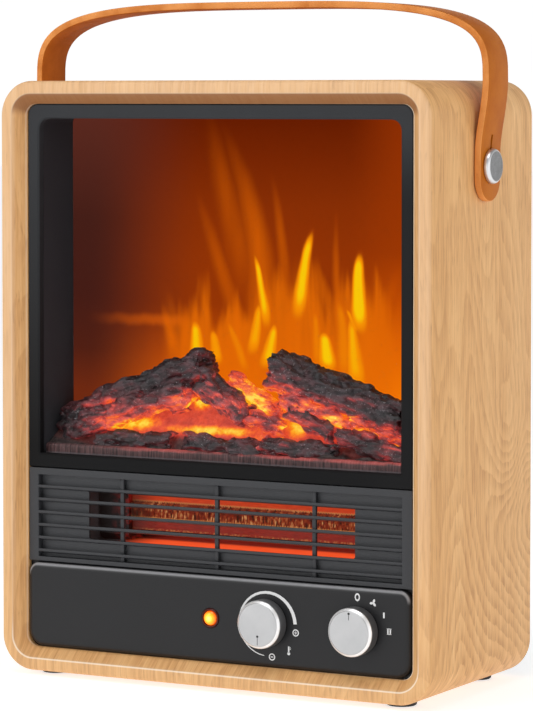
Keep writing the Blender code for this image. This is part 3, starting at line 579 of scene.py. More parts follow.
flames = {
    # each tongue, in mm: foot x, foot height, tip x, tip height, half width, bow, strength, heat
    "tongues": (
        (9, 200, -18, 318, 15.0, 8.0, 0.55, 0.0), (-4, 236, -26, 326, 14.0, -1.0, 0.30, 0.0),
        (11, 206, 3, 244, 5.4, 0.8, 0.95, 0.84), (-4, 200, -34, 280, 9.0, -2.0, 0.36, 0.0),
        (33, 213, 42, 258, 7.6, -0.6, 1.0, 0.88), (71, 206, 72, 246, 8.4, -0.6, 1.0, 1.08),
        (69, 200, 62, 213, 4.0, 0.0, 0.8, 0.7), (26, 220, 15, 290, 6.0, 0.6, 0.38, 0.0),
        (58, 190, 56, 272, 5.0, 0.0, 0.52, 0.0), (-34, 180, -35, 204, 9.0, 0.4, 0.95, 0.84),
        (-20, 180, -23, 199, 7.0, 0.0, 0.88, 0.68), (-14, 176, -6, 217, 14.0, 2.6, 0.66, 0.0),
        (3, 188, 7, 216, 6.6, 0.6, 0.88, 0.74), (12, 180, 17, 204, 8.4, 0.5, 0.95, 0.84),
        (45, 180, 43, 214, 7.6, 0.0, 0.68, 0.5), (51, 180, 48, 200, 9.0, 0.0, 0.98, 0.92),
        (61, 176, 57, 222, 9.0, 0.8, 0.72, 0.5), (69, 172, 65, 211, 10.0, 0.0, 0.92, 0.76),
        (24, 182, 32, 244, 11.0, 1.4, 0.46, 0.0), (76, 172, 98, 240, 10.0, -2.0, 0.38, 0.0),
        (-50, 186, -57, 213, 6.0, 0.0, 0.60, 0.0), (-43, 186, -42, 213, 6.0, 0.6, 0.55, 0.0),
        (84, 176, 82, 226, 14.0, 0.0, 0.42, 0.0), (-2, 176, -14, 206, 7.0, 0.0, 0.7, 0.5)),
    "waver": 0.0024}


def flameFinish():
    finish = Finish("flameScreen")
    x, z = finish.axes()[::2]
    drift = finish.cloud((26, 1, 11), 3, 0.55)
    flutter = finish.cloud((120, 1, 22), 2, 0.5)
    x = x + (drift - 0.5) * flames["waver"] * 2.4 + (flutter - 0.5) * flames["waver"]
    height = z - underside
    rays = finish.cloud((110, 1, 10), 3, 0.55, warp=0.3)
    lick = finish.cloud((58, 1, 12), 2, 0.5, warp=0.4)
    body, core = 0.0, 0.0
    for footX, footZ, tipX, tipZ, half, bow, strength, heat in flames["tongues"]:
        share = (height * 1000 - footZ) / (tipZ - footZ)
        middle = share * (tipX - footX + 4 * bow) - share * share * (4 * bow) + footX
        width = finish.sum("MAXIMUM", 1.03 - share, 0.03) ** 0.48 * half
        across = finish.size(x * 1000 - middle) / width
        tongue = finish.rise(across, 1.0, 0.05) * finish.rise(share, -0.35, 0.20)
        tongue = tongue * finish.rise(share, 1.02, 0.70 if heat else 0.40) * strength
        body = finish.sum("MAXIMUM", tongue, body)
        if heat:
            core = finish.sum("MAXIMUM", tongue * heat, core)
    level = (height * 1000 - 120) / 200
    wall = finish.ramp(level, (0.24, (232, 98, 5)), (0.31, (208, 84, 5)),
                       (0.38, (178, 68, 4)), (0.46, (152, 54, 4)), (0.60, (148, 52, 4)),
                       (0.74, (138, 47, 4)), (0.88, (120, 37, 2)), (1.0, (102, 28, 1)))
    side = finish.ramp(level, (0.20, (112, 42, 18)), (0.32, (82, 32, 20)),
                       (0.48, (70, 29, 22)), (0.7, (70, 31, 24)), (1.0, (92, 42, 32)))
    right = finish.ramp(level, (0.22, (250, 122, 4)), (0.36, (226, 98, 3)),
                        (0.48, (194, 76, 2)), (0.62, (158, 56, 3)), (1.0, (142, 47, 3)))
    colour = finish.blend(finish.rise(x, 0.060, 0.100), wall, right)
    colour = finish.blend(finish.rise(x, -0.022, -0.108), colour, side)
    wisp = finish.rise(finish.size(height * 1000 - 202 + (rays - 0.5) * 4), 5.0, 0.3)
    wisp = wisp * finish.rise(x, -0.110, -0.052) * finish.rise(x, -0.036, -0.050)
    colour = finish.blend(wisp * 0.66, colour, (214, 92, 12))
    inside = finish.rise(x, -0.060, -0.036) * finish.rise(x, 0.104, 0.080)
    base = finish.rise(height - (lick - 0.36) * 0.10 - (rays - 0.5) * 0.04 - x * 0.06, 0.208, 0.182)
    base = base * inside
    colour = finish.blend(base * (0.25 + rays * 0.9), colour, (236, 112, 5))
    body = body * (0.55 + rays * 0.8)
    colour = finish.blend(body, colour, (232, 106, 3))
    core = core * (0.86 + rays * 0.25)
    colour = finish.blend(finish.rise(core, 0.12, 0.60), colour, (252, 148, 4))
    colour = finish.blend(finish.rise(core, 0.52, 0.88), colour, (255, 204, 8))
    return finish.surface((6, 3, 2), 0.9, light=colour, specular=0.0)


def charFinish():
    # burnt bark: charcoal and purple-brown with silvery flecks that are painted glints, glowing where the
    # heat mark is
    finish = Finish("charredLogs")
    heat = finish.mark("heat")
    ridge = finish.cloud((120, 320, 320), 4, 0.62, warp=0.5)
    lump = finish.cloud(90, 3, 0.6)
    knob = finish.cells((300, 520, 520), feature="SMOOTH_F1")
    glintFleck = finish.rise(finish.cloud((560, 560, 900), 3, 0.75), 0.60, 0.68)
    base = finish.ramp(ridge, (0.36, (9, 7, 9)), (0.48, (30, 23, 27)),
                       (0.62, (68, 52, 57)))
    base = finish.blend(finish.rise(lump, 0.45, 0.7) * 0.5, base, (62, 34, 36))
    base = finish.blend(glintFleck * 0.8, base, (196, 190, 194))
    glow = heat * (0.76 + (ridge - 0.5) * 2.1)
    light = finish.ramp(glow, (0.04, (0, 0, 0)), (0.13, (66, 20, 22)),
                        (0.26, (150, 44, 42)), (0.44, (218, 68, 48)),
                        (0.58, (242, 92, 28)), (0.74, (252, 132, 14)),
                        (0.90, (255, 184, 18)), (1.0, (255, 214, 60)))
    return finish.surface(base, 0.46 - glintFleck * 0.2 + lump * 0.1,
                          finish.bump(ridge + (1 - knob) * 0.5 + glintFleck * 0.3, 0.0011, 1.0), light=light,
                          specular=0.65)


def emberFinish():
    finish = Finish("emberBed")
    heat = finish.mark("heat")
    lump = finish.cloud(120, 4, 0.6)
    ash = finish.cloud(420, 3, 0.65)
    base = finish.ramp(ash, (0.35, (30, 25, 26)), (0.6, (70, 58, 56)))
    glow = heat * (0.72 + (lump - 0.5) * 0.8 + (ash - 0.5) * 0.3)
    light = finish.ramp(glow, (0.04, (6, 2, 2)), (0.16, (84, 24, 20)),
                        (0.34, (184, 52, 40)), (0.56, (228, 74, 42)),
                        (0.70, (250, 116, 20)), (0.84, (255, 172, 16)),
                        (1.0, (255, 220, 70)))
    return finish.surface(base, 0.8, finish.bump(lump + ash, 0.0005, 0.7), light=light)


def lipFinish():
    # the moulded front edge of the bed: dull grey with fine upright ridges
    finish = Finish("bedLip")
    x, z = finish.axes()[::2]
    ridge = finish.cloud((900, 60, 60), 3, 0.6)
    base = finish.ramp(ridge, (0.35, (36, 24, 25)), (0.65, (118, 84, 84)))
    line = finish.rise(z, up(0.1262), up(0.1254))
    base = finish.blend(line * 0.6, base, (120, 118, 122))
    lava = finish.cloud((60, 40, 200), 3, 0.6)
    warm = finish.rise(z + (lava - 0.5) * 0.004, up(0.1286), up(0.1302)) * finish.rise(x, -0.09, -0.03)
    light = finish.blend(warm * finish.rise(lava, 0.35, 0.6), (10, 3, 3), (150, 56, 50))
    return finish.surface(base, 0.6, finish.bump(ridge, 0.0005), light=light)


def fadeAtLeft(finish, x):
    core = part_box("ptc_fins")[0].x
    return finish.rise(x, core - 0.004, core + 0.022) * 0.85 + 0.15


def strokes(finish):
    # fins seen edge on: tan and brown strokes between dark red gaps, painted in as light given off
    line = finish.cloud((760, 30, 150), 2, 0.75, warp=0.3)
    patch = finish.cloud((50, 30, 60), 2, 0.5)
    return finish.ramp(line + (patch - 0.5) * 0.25, (0.38, (34, 6, 4)), (0.50, (112, 26, 10)),
                       (0.58, (142, 62, 30)), (0.68, (192, 134, 84)))


def barFinish():
    # the heated ceramic bars: the upper one glows, the lower one is dark red with tan edges
    finish = Finish("heatedCeramic")
    x, z = finish.axes()[::2]
    upper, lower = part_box("ptc_bar_upper"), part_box("ptc_bar_lower")
    between = (upper[0].z + lower[1].z) / 2
    streak = finish.cloud((240, 60, 900), 3, 0.65)
    dots = finish.rise(finish.cloud((900, 60, 700), 2, 0.6), 0.45, 0.6)
    top = finish.rise(z, between - 0.001, between + 0.001)
    bright = finish.blend(streak, (140, 26, 8), (226, 72, 20))
    # painted shade: the top of the upper bar is darkened, under the mouth's upper edge
    bright = finish.blend(finish.rise(z, upper[1].z - 0.0024, upper[1].z - 0.0010), bright,
                          (92, 16, 8))
    wave = finish.sum("SINE", x * 3900) * 0.00035
    fold = upper[0].z + 0.0011
    bright = finish.blend(finish.rise(z + wave, fold + 0.0001, fold - 0.0001), bright, strokes(finish))
    crest = finish.rise(finish.size(z + wave - fold), 0.0005, 0.0002)
    bright = finish.blend(crest * 0.8, bright, (190, 122, 66))
    dull = finish.blend(streak, (84, 10, 5), (150, 30, 12))
    edge = finish.sum("MAXIMUM", finish.rise(z, lower[1].z - 0.0014, lower[1].z - 0.0008),
                      finish.rise(z, lower[0].z + 0.0014, lower[0].z + 0.0008))
    dull = finish.blend(edge * dots * 0.8, dull, (176, 104, 56))
    light = finish.blend(top, dull, bright)
    light = finish.blend(fadeAtLeft(finish, x), (20, 3, 1), light)
    return finish.surface(finish.blend(streak, (46, 18, 12), (70, 32, 22)), 0.6,
                          finish.bump(streak, 0.0002), light=light, strength=0.9)


def finFinish():
    # the aluminium fins give off no light of their own; the orange light on them is painted in as emission
    finish = Finish("finsPaintedGlow")
    x, z = finish.axes()[::2]
    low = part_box("ptc_fins")[0]
    light = strokes(finish)
    wave = finish.sum("SINE", x * 3900) * 0.00035
    foot = finish.rise(finish.size(z - wave - low.z - 0.0006), 0.0005, 0.0002)
    light = finish.blend(foot * 0.8, light, (190, 122, 66))
    light = finish.blend(fadeAtLeft(finish, x), (24, 4, 2), light)
    tint = finish.cloud((700, 60, 90), 2, 0.6)
    return finish.surface(finish.blend(tint, (44, 26, 18), (110, 82, 60)), 0.5,
                          finish.bump(tint, 0.0003), light=light, strength=0.85, metallic=0.4)


def lensFinish():
    finish = Finish("amberLens")
    x, z = finish.axes()[::2]
    low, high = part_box("indicator_lens")
    middle = middleOf("indicator_lens")
    reach = ((x - middle.x) ** 2 + (z - middle.z) ** 2) ** 0.5 / ((high.x - low.x) / 2)
    swirl = finish.cloud(900, 2, 0.6)
    light = finish.ramp(reach + (swirl - 0.5) * 0.15, (0.10, (255, 226, 110)),
                        (0.45, (255, 176, 30)), (0.8, (250, 118, 12)),
                        (1.0, (160, 42, 6)))
    return finish.surface(light, 0.18, finish.bump(swirl, 0.00005), light=light, strength=0.95)


def printFinish():
    finish = Finish("dialPrint")
    wear = finish.cloud(2400, 3, 0.7)
    base = finish.blend(finish.rise(wear, 0.5, 0.8) * 0.35, (224, 224, 224), (170, 170, 172))
    return finish.surface(base, 0.5 + wear * 0.1)


def darkHolderFinish():
    # heat-proof end holders: almost black; next to the core a dull red glow is painted in as emission,
    # standing for the core's light on them
    finish = Finish("coreHolders")
    x = finish.axes()[0]
    mottle = finish.cloud(260, 3, 0.6)
    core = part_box("ptc_fins")[0].x
    near = finish.rise(x, core - 0.014, core + 0.002)
    light = finish.blend(near * finish.rise(mottle, 0.4, 0.65), (10, 2, 1), (110, 16, 8))
    return finish.surface(finish.blend(mottle, (8, 6, 6), (24, 17, 16)), 0.6,
                          finish.bump(mottle, 0.0003), light=light, strength=0.8)


def ductFinish():
    # zinc-plated duct; where its floor lies under the heated core, the core's reflected glow is painted in
    # as emission, bright at the front and dark red further back
    finish = Finish("ductPaintedGlow")
    x, y, z = finish.axes()
    lines = finish.cloud((60, 500, 500), 3, 0.6)
    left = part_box("ptc_bar_lower")[0].x
    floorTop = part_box("duct_front_plate")[0].z + 0.0130
    under = finish.rise(z, floorTop + 0.0005, floorTop - 0.0005)
    along = finish.rise(x, left - 0.008, left + 0.020)
    hot = finish.blend(lines, (222, 50, 10), (246, 92, 30))
    hot = finish.blend(finish.rise(y, back(0.0330), back(0.0430)), hot, (104, 18, 9))
    return finish.surface(finish.blend(lines, (120, 122, 126), (150, 152, 156)), 0.4 + lines * 0.1,
                          finish.bump(lines, 0.00005), light=finish.blend(under * along, (8, 1, 0), hot),
                          metallic=0.6)


finishes = {
    "black_plastic": plasticFinish("panelPlastic", (33, 33, 35), 0.3),
    "dark_plastic": plasticFinish("mattPlastic", (40, 41, 43), 0.42, 1100, 0.00006),
    "matt_lining": plasticFinish("mattLining", (52, 53, 57), 0.7, 800, 0.00005, (70, 68, 68)),
    "satin_metal": metalFinish("satinMetal", (205, 206, 208), 0.3),
    "zinc_steel": metalFinish("zincSteel", (168, 171, 176), 0.38, (420, 420, 90), 0.00005),
    "motor_iron": laminateFinish(),
    "motor_copper": woundFinish(),
    "bush_brass": metalFinish("turnedBrass", (196, 158, 86), 0.34, (2600, 120, 120)),
    "fin_aluminium": finFinish(),
    "heating_ceramic": barFinish(),
    "window_glass": paneFinish(),
    "flame_screen_film": flameFinish(),
    "circuit_board": boardFinish(),
    "white_nylon": plasticFinish("whiteNylon", (214, 210, 198), 0.5, 1300, 0.00004,
                                 (190, 184, 168)),
    "foot_rubber": plasticFinish("footRubber", (40, 40, 42), 0.78, 900, 0.00008, (70, 68, 66)),
    "lamp_amber": lensFinish()}
woodFilm = oakFinish()
charredWood = charFinish()
print("finishes made:", len(finishes) + 2)

for part in nodes.values():
    for holder in part.material_slots:
        kind = holder.material.name
        if kind in finishes:
            holder.material = finishes[kind]
aluminiumPlate = metalFinish("rolledAluminium", (196, 198, 200), 0.36, (900, 30, 60))
nodes["flame_stencil"].material_slots[0].material = aluminiumPlate
nodes["air_duct"].material_slots[0].material = ductFinish()
nodes["window_bezel"].material_slots[0].material = bezelFinish()
nodes["duct_front_plate"].material_slots[0].material = plasticFinish(
    "platePlastic", (74, 75, 78), 0.5, 900, 0.00006, (116, 117, 120))
coreHolders = darkHolderFinish()
for name in ("ptc_holder_left", "ptc_holder_right"):
    nodes[name].material_slots[0].material = coreHolders


# The wood-look casing

def makeCasing():
    middle = (caseLow + caseHigh) / 2
    halfX, halfZ = (caseHigh.x - caseLow.x) / 2, (caseHigh.z - caseLow.z) / 2
    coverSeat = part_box("rear_cover")[0].y - casing["coverGap"]
    shell = addBlock("woodShell", caseLow, caseHigh)
    startEdit(shell)
    pickEdges(shell, lambda mid, way: abs(way.y) > 0.99)
    bpy.ops.mesh.bevel(offset=casing["cornerRadius"], segments=casing["cornerSteps"])
    pickFaces(shell, lambda mid, normal: normal.y > 0.99)
    bpy.ops.mesh.region_to_loop()
    bpy.ops.mesh.bevel(offset=casing["rearRound"], segments=3)
    pickFaces(shell, lambda mid, normal: normal.y < -0.99)
    bpy.ops.mesh.region_to_loop()
    bpy.ops.mesh.bevel(offset=casing["edgeRadius"], segments=5)

    def faceTo(x, z, depth):
        # move the picked front face to these insets and this depth
        mesh = bmesh.from_edit_mesh(shell.data)
        picked = [corner.co for corner in mesh.verts if corner.select]
        nowX, nowZ = max(spot.x for spot in picked), max(spot.z for spot in picked) - middle.z
        nowY = picked[0].y
        bpy.ops.transform.resize(value=((halfX - x) / nowX, 1, (halfZ - z) / nowZ),
                                 center_override=middle)
        bpy.ops.transform.translate(value=(0, back(depth) - nowY, 0))

    pickFaces(shell, lambda mid, normal: normal.y < -0.99)
    bpy.ops.mesh.inset(thickness=casing["rim"] - casing["edgeRadius"] - casing["crease"] / 2)
    bpy.ops.mesh.inset(thickness=casing["crease"])
    faceTo(casing["rim"] + casing["crease"] / 2, casing["rim"] + casing["crease"] / 2, 0.0003)
    bpy.ops.mesh.inset(thickness=0.0055)
    faceTo(casing["lipX"] - 0.0005, casing["lipZ"] - 0.0005, casing["slopeDepth"] - 0.0004)
    bpy.ops.mesh.inset(thickness=0.0005)
    faceTo(casing["lipX"], casing["lipZ"], casing["slopeDepth"] + 0.0002)
    bpy.ops.mesh.extrude_region_move()
    faceTo(casing["lipX"], casing["lipZ"], casing["lipBack"])
    bpy.ops.mesh.extrude_region_move()
    faceTo(casing["wall"], casing["wall"], casing["lipBack"])
    bpy.ops.mesh.extrude_region_move()
    faceTo(casing["wall"], casing["wall"], coverSeat - frontY)
    bpy.ops.mesh.delete(type="FACE")
    pickFaces(shell, lambda mid, normal: normal.y > 0.99 and mid.y > rearY - 0.0001)
    bpy.ops.mesh.inset(thickness=casing["rebate"] - casing["rearRound"])
    bpy.ops.mesh.extrude_region_move(TRANSFORM_OT_translate={"value": (0, coverSeat - rearY, 0)})
    bpy.ops.mesh.delete(type="FACE")
    bpy.ops.mesh.select_mode(type="EDGE")
    bpy.ops.mesh.select_all(action="DESELECT")
    bpy.ops.mesh.select_non_manifold()
    bpy.ops.mesh.bridge_edge_loops()
    bpy.ops.mesh.select_all(action="SELECT")
    bpy.ops.mesh.normals_make_consistent(inside=False)
    endEdit(28)
    cutAway(shell, addRod("studHole", casing["studHole"], middleOf("stud_left").yz, "X",
                          caseLow.x - 0.01, caseHigh.x + 0.01, 24))
    layGrain(shell, middle, halfX, halfZ)
    dress(shell, woodFilm, "casing", "oak_finish", "wood_casing")


def layGrain(shell, middle, halfX, halfZ):
    # the film runs upright on the front and round the sides
    grain = shell.data.uv_layers.get("UVMap") or shell.data.uv_layers.new(name="grain")
    grain.name = "grain"
    for face in shell.data.polygons:
        for loop in face.loop_indices:
            spot = shell.data.vertices[shell.data.loops[loop].vertex_index].co
            if face.normal.y < -0.3 or spot.y < frontY + 0.0004:
                place = (spot.x - halfX, spot.z)
            elif abs(face.normal.z) > 0.75:
                place = (spot.y - frontY + 0.4, spot.x + 0.7 * math.copysign(1, face.normal.z))
            elif spot.x > 0:
                place = (spot.y - frontY, spot.z)
            else:
                place = (frontY - spot.y - 2 * halfX, spot.z)
            grain.data[loop].uv = place
    # how far each corner lies in from the casing's outline, and how much painted shade each corner of the
    # inner slope gets, most where it faces down
    insets, slopeShade = [], []
    for corner in shell.data.vertices:
        spot = corner.co - middle
        outX = abs(spot.x) - halfX + casing["cornerRadius"]
        outZ = abs(spot.z) - halfZ + casing["cornerRadius"]
        edge = casing["cornerRadius"] - math.hypot(max(outX, 0), max(outZ, 0))
        edge -= min(max(outX, outZ), 0)
        insets.append(edge * casing["insetScale"])
        onSlope = edge > casing["rim"] + 0.0002 and corner.co.y < back(casing["slopeDepth"] + 0.0004)
        slopeShade.append(min(1.0, 0.16 + max(0.0, -corner.normal.z * 3.0)) if onSlope else 0.0)
    markCorners(shell, "inset", insets)
    markCorners(shell, "shade", slopeShade)


makeCasing()
print("casing done")


# The strap handle and its studs

strap = {"width": 0.026, "thick": 0.004, "footX": 0.1384, "archX": 0.1432, "archLow": 0.340,
         "rise": 0.041, "end": 0.0195, "power": 3.55, "archSteps": 56, "hole": 0.0032,
         "slit": 0.0021, "slitTop": 0.0175, "flat": 0.0250}


def strapPath():
    low = middleOf("stud_left").z - underside - strap["end"]
    start = low + strap["flat"]
    half = [(strap["footX"], low), (strap["footX"], start)]
    for step in range(1, 9):
        share = step / 9
        ease = share * share * (3 - 2 * share)
        half.append((strap["footX"] + (strap["archX"] - strap["footX"]) * ease,
                     start + (strap["archLow"] - start) * share))
    arch = []
    for step in range(strap["archSteps"] + 1):
        turn = math.pi * step / strap["archSteps"]
        run, lift = math.cos(turn), max(math.sin(turn), 0.0)
        arch.append((strap["archX"] * math.copysign(abs(run) ** (2 / strap["power"]), run),
                     strap["archLow"] + strap["rise"] * lift ** (2 / strap["power"])))
    inner = half + arch + [(-x, z) for x, z in reversed(half)]
    path = []
    for i, (x, z) in enumerate(inner):
        before, after = inner[max(i - 1, 0)], inner[min(i + 1, len(inner) - 1)]
        along = Vector((after[0] - before[0], after[1] - before[1])).normalized()
        path.append(Vector((x + along.y * strap["thick"] / 2, 0,
                            up(z) - along.x * strap["thick"] / 2)))
    return path


def makeStrap():
    path = strapPath()
    clearSelection()
    first = path[1] - path[0]
    bpy.ops.mesh.primitive_plane_add(size=1, location=(path[0] + path[1]) / 2,
                                     rotation=(0, math.pi / 2, 0))
    bpy.context.object.scale = (first.length, strap["width"], 1)
    settle()
    band = named("leatherStrap")
    startEdit(band)
    top = path[1].z
    pickCorners(band, lambda spot: spot.z > top - 0.0001)
    bpy.ops.mesh.select_mode(type="EDGE")
    for here, there in zip(path[1:], path[2:]):
        bpy.ops.mesh.extrude_region_move(TRANSFORM_OT_translate={"value": there - here})
    low = path[0].z
    pickCorners(band, lambda spot: spot.z < low + 0.0001)
    bpy.ops.mesh.bevel(offset=strap["width"] / 2 - 0.0001, segments=14, affect="VERTICES")
    endEdit()
    for material in (leatherFinish("leatherFace", (190, 106, 18), (173, 89, 12), 0.46),
                     leatherFinish("leatherBack", (196, 110, 34), (172, 92, 26), 0.7),
                     leatherFinish("leatherEdge", (228, 152, 84), (196, 114, 48), 0.62, True)):
        band.data.materials.append(material)
    outward = band.data.polygons[0].normal.x > 0
    applyModifier(band, "SOLIDIFY", "thickness", thickness=strap["thick"], offset=0.0,
                  use_even_offset=True, material_offset=1, material_offset_rim=2)
    if not outward:
        for face in band.data.polygons:
            face.material_index = {0: 1, 1: 0}.get(face.material_index, 2)
    softenEdges(band, 0.0007, 3, 50)
    pivot = middleOf("stud_left")
    cutAway(band, addRod("strapHole", strap["hole"], pivot.yz, "X", -0.2, 0.2, 32))
    half = strap["slit"] / 2
    cutAway(band, addBlock("strapSlit", (-0.2, -half, pivot.z),
                           (0.2, half, pivot.z + strap["slitTop"])))
    bpy.ops.object.shade_smooth_by_angle(angle=math.radians(35))
    settleOn(band, "handle", "strap_leather", "handle_strap")


def studFinish():
    # turned face: fine rings about the stud's own axis, and a painted highlight on the rounded outer rim
    finish = Finish("turnedStud")
    y, z = finish.axes()[1:]
    middle = middleOf("stud_left")
    reach = ((y - middle.y) ** 2 + (z - middle.z) ** 2) ** 0.5
    rings = finish.sum("SINE", reach * 15000) * 0.5 + 0.5
    slow = finish.cloud(300, 3, 0.6)
    base = finish.ramp(rings * 0.4 + slow * 0.6, (0.3, (112, 112, 113)), (0.7, (150, 151, 152)))
    base = finish.blend(finish.rise(reach, 0.0080, 0.0087), base, (226, 226, 228))
    return finish.surface(base, 0.3 + slow * 0.12, finish.bump(rings, 0.00004), metallic=1.0)


studs = {
    # profile of the head: radius, and how far behind its outer face
    "profile": ((0.0070, 0.0001), (0.0078, 0.0), (0.0085, 0.0001), (0.0091, 0.0005), (0.0095, 0.0010),
                (0.0097, 0.0016), (0.0098, 0.0022), (0.0098, 0.0030), (0.0096, 0.0033),
                (0.0094, 0.0034), (0.0025, 0.0034)),
    "shank": 0.0025}


def makeStuds():
    shine = studFinish()
    for side, name in ((-1, "left"), (1, "right")):
        low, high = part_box("stud_" + name)
        outer = high.x if side > 0 else -low.x
        inner = low.x if side > 0 else -high.x
        rings = [(radius, side * (outer - drop)) for radius, drop in studs["profile"]]
        rings.append((studs["shank"], side * inner))
        piece = turnPiece("strapStud_" + name, rings, middleOf("stud_" + name).yz, "X", 56)
        dress(piece, shine, "casing", "satin_metal", "stud_" + name)


makeStrap()
makeStuds()
print("strap and studs done")


# The outlet grille

grille = {"half": 0.1235, "side": 0.1173, "low": 0.0655, "high": 0.1130, "slats": 6, "slatTop": 0.1063,
          "pitch": 0.0074, "slatThick": 0.0018, "drop": 0.0012, "ribs": (-0.062, 0.0, 0.062),
          "ribHalf": 0.0012, "ribFront": 0.0092, "ribBack": 0.0114, "frameLow": 0.0630,
          "frameHigh": 0.1170, "back": 0.0118, "flangeFront": 0.0103, "flangeHole": (0.120, 0.0650, 0.1135)}


def addFlange(part, low, high):
    # the thin border that lies behind the casing's lip
    return addBlock("flange", (low.x, back(part["flangeFront"]), low.z),
                    (high.x, back(part["back"]), high.z))


def openFlange(flange, half, low, high):
    cutAway(flange, addBlock("flangeOpening", (-half, back(0), up(low)), (half, back(0.03), up(high))))


def makeGrille():
    low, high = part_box("outlet_grille")
    face = low.y
    body = addBlock("grilleFrame", (-grille["half"], face, up(grille["frameLow"])),
                    (grille["half"], back(grille["back"]), up(grille["frameHigh"])))
    cutAway(body, addBlock("grilleOpening", (-grille["side"], face - 0.01, up(grille["low"])),
                           (grille["side"], back(0.03), up(grille["high"]))))
    softenEdges(body, 0.0004, 3)
    flange = addFlange(grille, low, high)
    openFlange(flange, *grille["flangeHole"])
    softenEdges(flange, 0.0002, 1)
    pieces = [body, flange]
    half = grille["slatThick"] / 2
    top = up(grille["slatTop"])
    reach = grille["side"] + 0.0008
    slat = addBlock("grilleSlat", (-reach, face + 0.0001, top - half), (reach, back(0.0120), top + half))
    startEdit(slat)
    pickFaces(slat, lambda mid, normal: normal.y > 0.9)
    bpy.ops.transform.translate(value=(0, 0, -grille["drop"]))
    pickEdges(slat, lambda mid, way: abs(way.x) > 0.99 and mid.y < face + 0.001)
    bpy.ops.mesh.bevel(offset=0.0006, segments=3)
    endEdit(40)
    pieces += [copyOf(slat, (0, 0, -grille["pitch"] * i)) for i in range(1, grille["slats"])]
    pieces.append(slat)
    for x in grille["ribs"]:
        rib = addBlock("grilleRib", (x - grille["ribHalf"], back(grille["ribFront"]),
                                     up(grille["low"] - 0.001)),
                       (x + grille["ribHalf"], back(grille["ribBack"]), up(grille["high"] + 0.001)))
        softenEdges(rib, 0.0004, 2)
        pieces.append(rib)
    whole = joinPieces(pieces, "slattedGrille")
    dress(whole, plasticFinish("grillePlastic", (54, 55, 58), 0.44, 1100, 0.00006, (92, 93, 96)),
          "casing", "dark_plastic", "outlet_grille")


# The control panel, its lamp, dials and marks

panel = {"half": 0.1235, "low": 0.0135, "high": 0.0625, "radius": 0.0068, "lowRadius": 0.0096,
         "back": 0.0118, "roundIn": 0.0040, "roundOut": 0.0030, "roundSteps": 7,
         "flangeFront": 0.0103, "flangeCorner": 0.009, "flangeHole": (0.118, 0.0180, 0.0580),
         "holes": {"thermostat_knob": 0.0045, "mode_knob": 0.0045, "indicator_holder": 0.0058}}


def makePanel():
    low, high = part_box("control_panel")
    face = low.y
    start = face + panel["roundOut"]
    body = addBlock("controlPanel", (-panel["half"], start, up(panel["low"])),
                    (panel["half"], back(panel["back"]), up(panel["high"])))
    startEdit(body)
    half = up((panel["low"] + panel["high"]) / 2)
    pickEdges(body, lambda mid, way: abs(way.y) > 0.99 and mid.z > half)
    bpy.ops.mesh.bevel(offset=panel["radius"], segments=9)
    pickEdges(body, lambda mid, way: abs(way.y) > 0.99 and mid.z < half - 0.01 and abs(mid.x) > 0.12)
    bpy.ops.mesh.bevel(offset=panel["lowRadius"], segments=9)
    pickFaces(body, lambda mid, normal: normal.y < -0.99)
    was = (0.0, 0.0)
    for step in range(1, panel["roundSteps"] + 1):
        turn = math.pi / 2 * step / panel["roundSteps"]
        now = (panel["roundIn"] * (1 - math.cos(turn)), panel["roundOut"] * math.sin(turn))
        bpy.ops.mesh.inset(thickness=now[0] - was[0], depth=now[1] - was[1])
        was = now
    endEdit(50)
    for node, radius in panel["holes"].items():
        cutAway(body, addRod("panelHole", radius, middleOf(node).xz, "Y",
                             face - 0.01, back(0.03), 40))
    flange = addFlange(panel, low, high)
    startEdit(flange)
    pickEdges(flange, lambda mid, way: abs(way.y) > 0.99 and mid.z < (low.z + high.z) / 2)
    bpy.ops.mesh.bevel(offset=panel["flangeCorner"], segments=6)
    endEdit(40)
    openFlange(flange, *panel["flangeHole"])
    whole = joinPieces([body, flange], "controlPanelFace")
    bpy.ops.object.shade_smooth_by_angle(angle=math.radians(40))
    dress(whole, panelFinish(), "casing", "black_plastic", "control_panel")


knob = {
    # profile of the face and chamfer: how far in from the radius, and how far behind the face
    "profile": ((0.0024, 0.0), (0.0020, 0.0), (0.0018, 0.00005), (0.0006, 0.0011), (0.0003, 0.0014),
                (0.0001, 0.0019), (0.0, 0.0026), (0.0, 0.0040)),
    "footRound": 0.0004, "bore": 0.0034, "boreDepth": 0.003, "dot": 0.0007, "lineHalf": 0.00018,
    # which way a pointer lies (1 up, -1 down), its dot and the ends of its line from the middle
    "pointers": {"thermostat": (-1, 0.0064, 0.0072, 0.0112), "mode": (1, 0.0106, 0.0070, 0.0098)}}


def makeKnob(name, metal):
    low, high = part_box(name + "_knob")
    middle = middleOf(name + "_knob")
    face, foot, radius = low.y, high.y, (high.x - low.x) / 2
    rings = [(radius - inward, face + drop) for inward, drop in knob["profile"]]
    rings += [(radius, foot - knob["footRound"]), (radius - knob["footRound"], foot),
              (knob["bore"], foot), (knob["bore"], face + knob["boreDepth"])]
    piece = turnPiece(name + "Dial", rings, middle.xz, "Y", 80, 24)
    dress(piece, metal, name + "_dial", "satin_metal", name + "_knob")
    way, dotAt, near, far = knob["pointers"][name]
    dot = addRod("dialDot", knob["dot"], (middle.x, middle.z + way * dotAt), "Y",
                 face - 0.00012, face + 0.0004, 20)
    softenEdges(dot, 0.00008, 2)
    ends = sorted((middle.z + way * near, middle.z + way * far))
    line = addBlock("dialLine", (middle.x - knob["lineHalf"], face - 0.00005, ends[0]),
                    (middle.x + knob["lineHalf"], face + 0.0003, ends[1]))
    softenEdges(line, 0.00004, 1)
    pointer = joinPieces([dot, line], name + "Pointer")
    dress(pointer, finishes["dark_plastic"], name + "_dial", "dark_plastic")


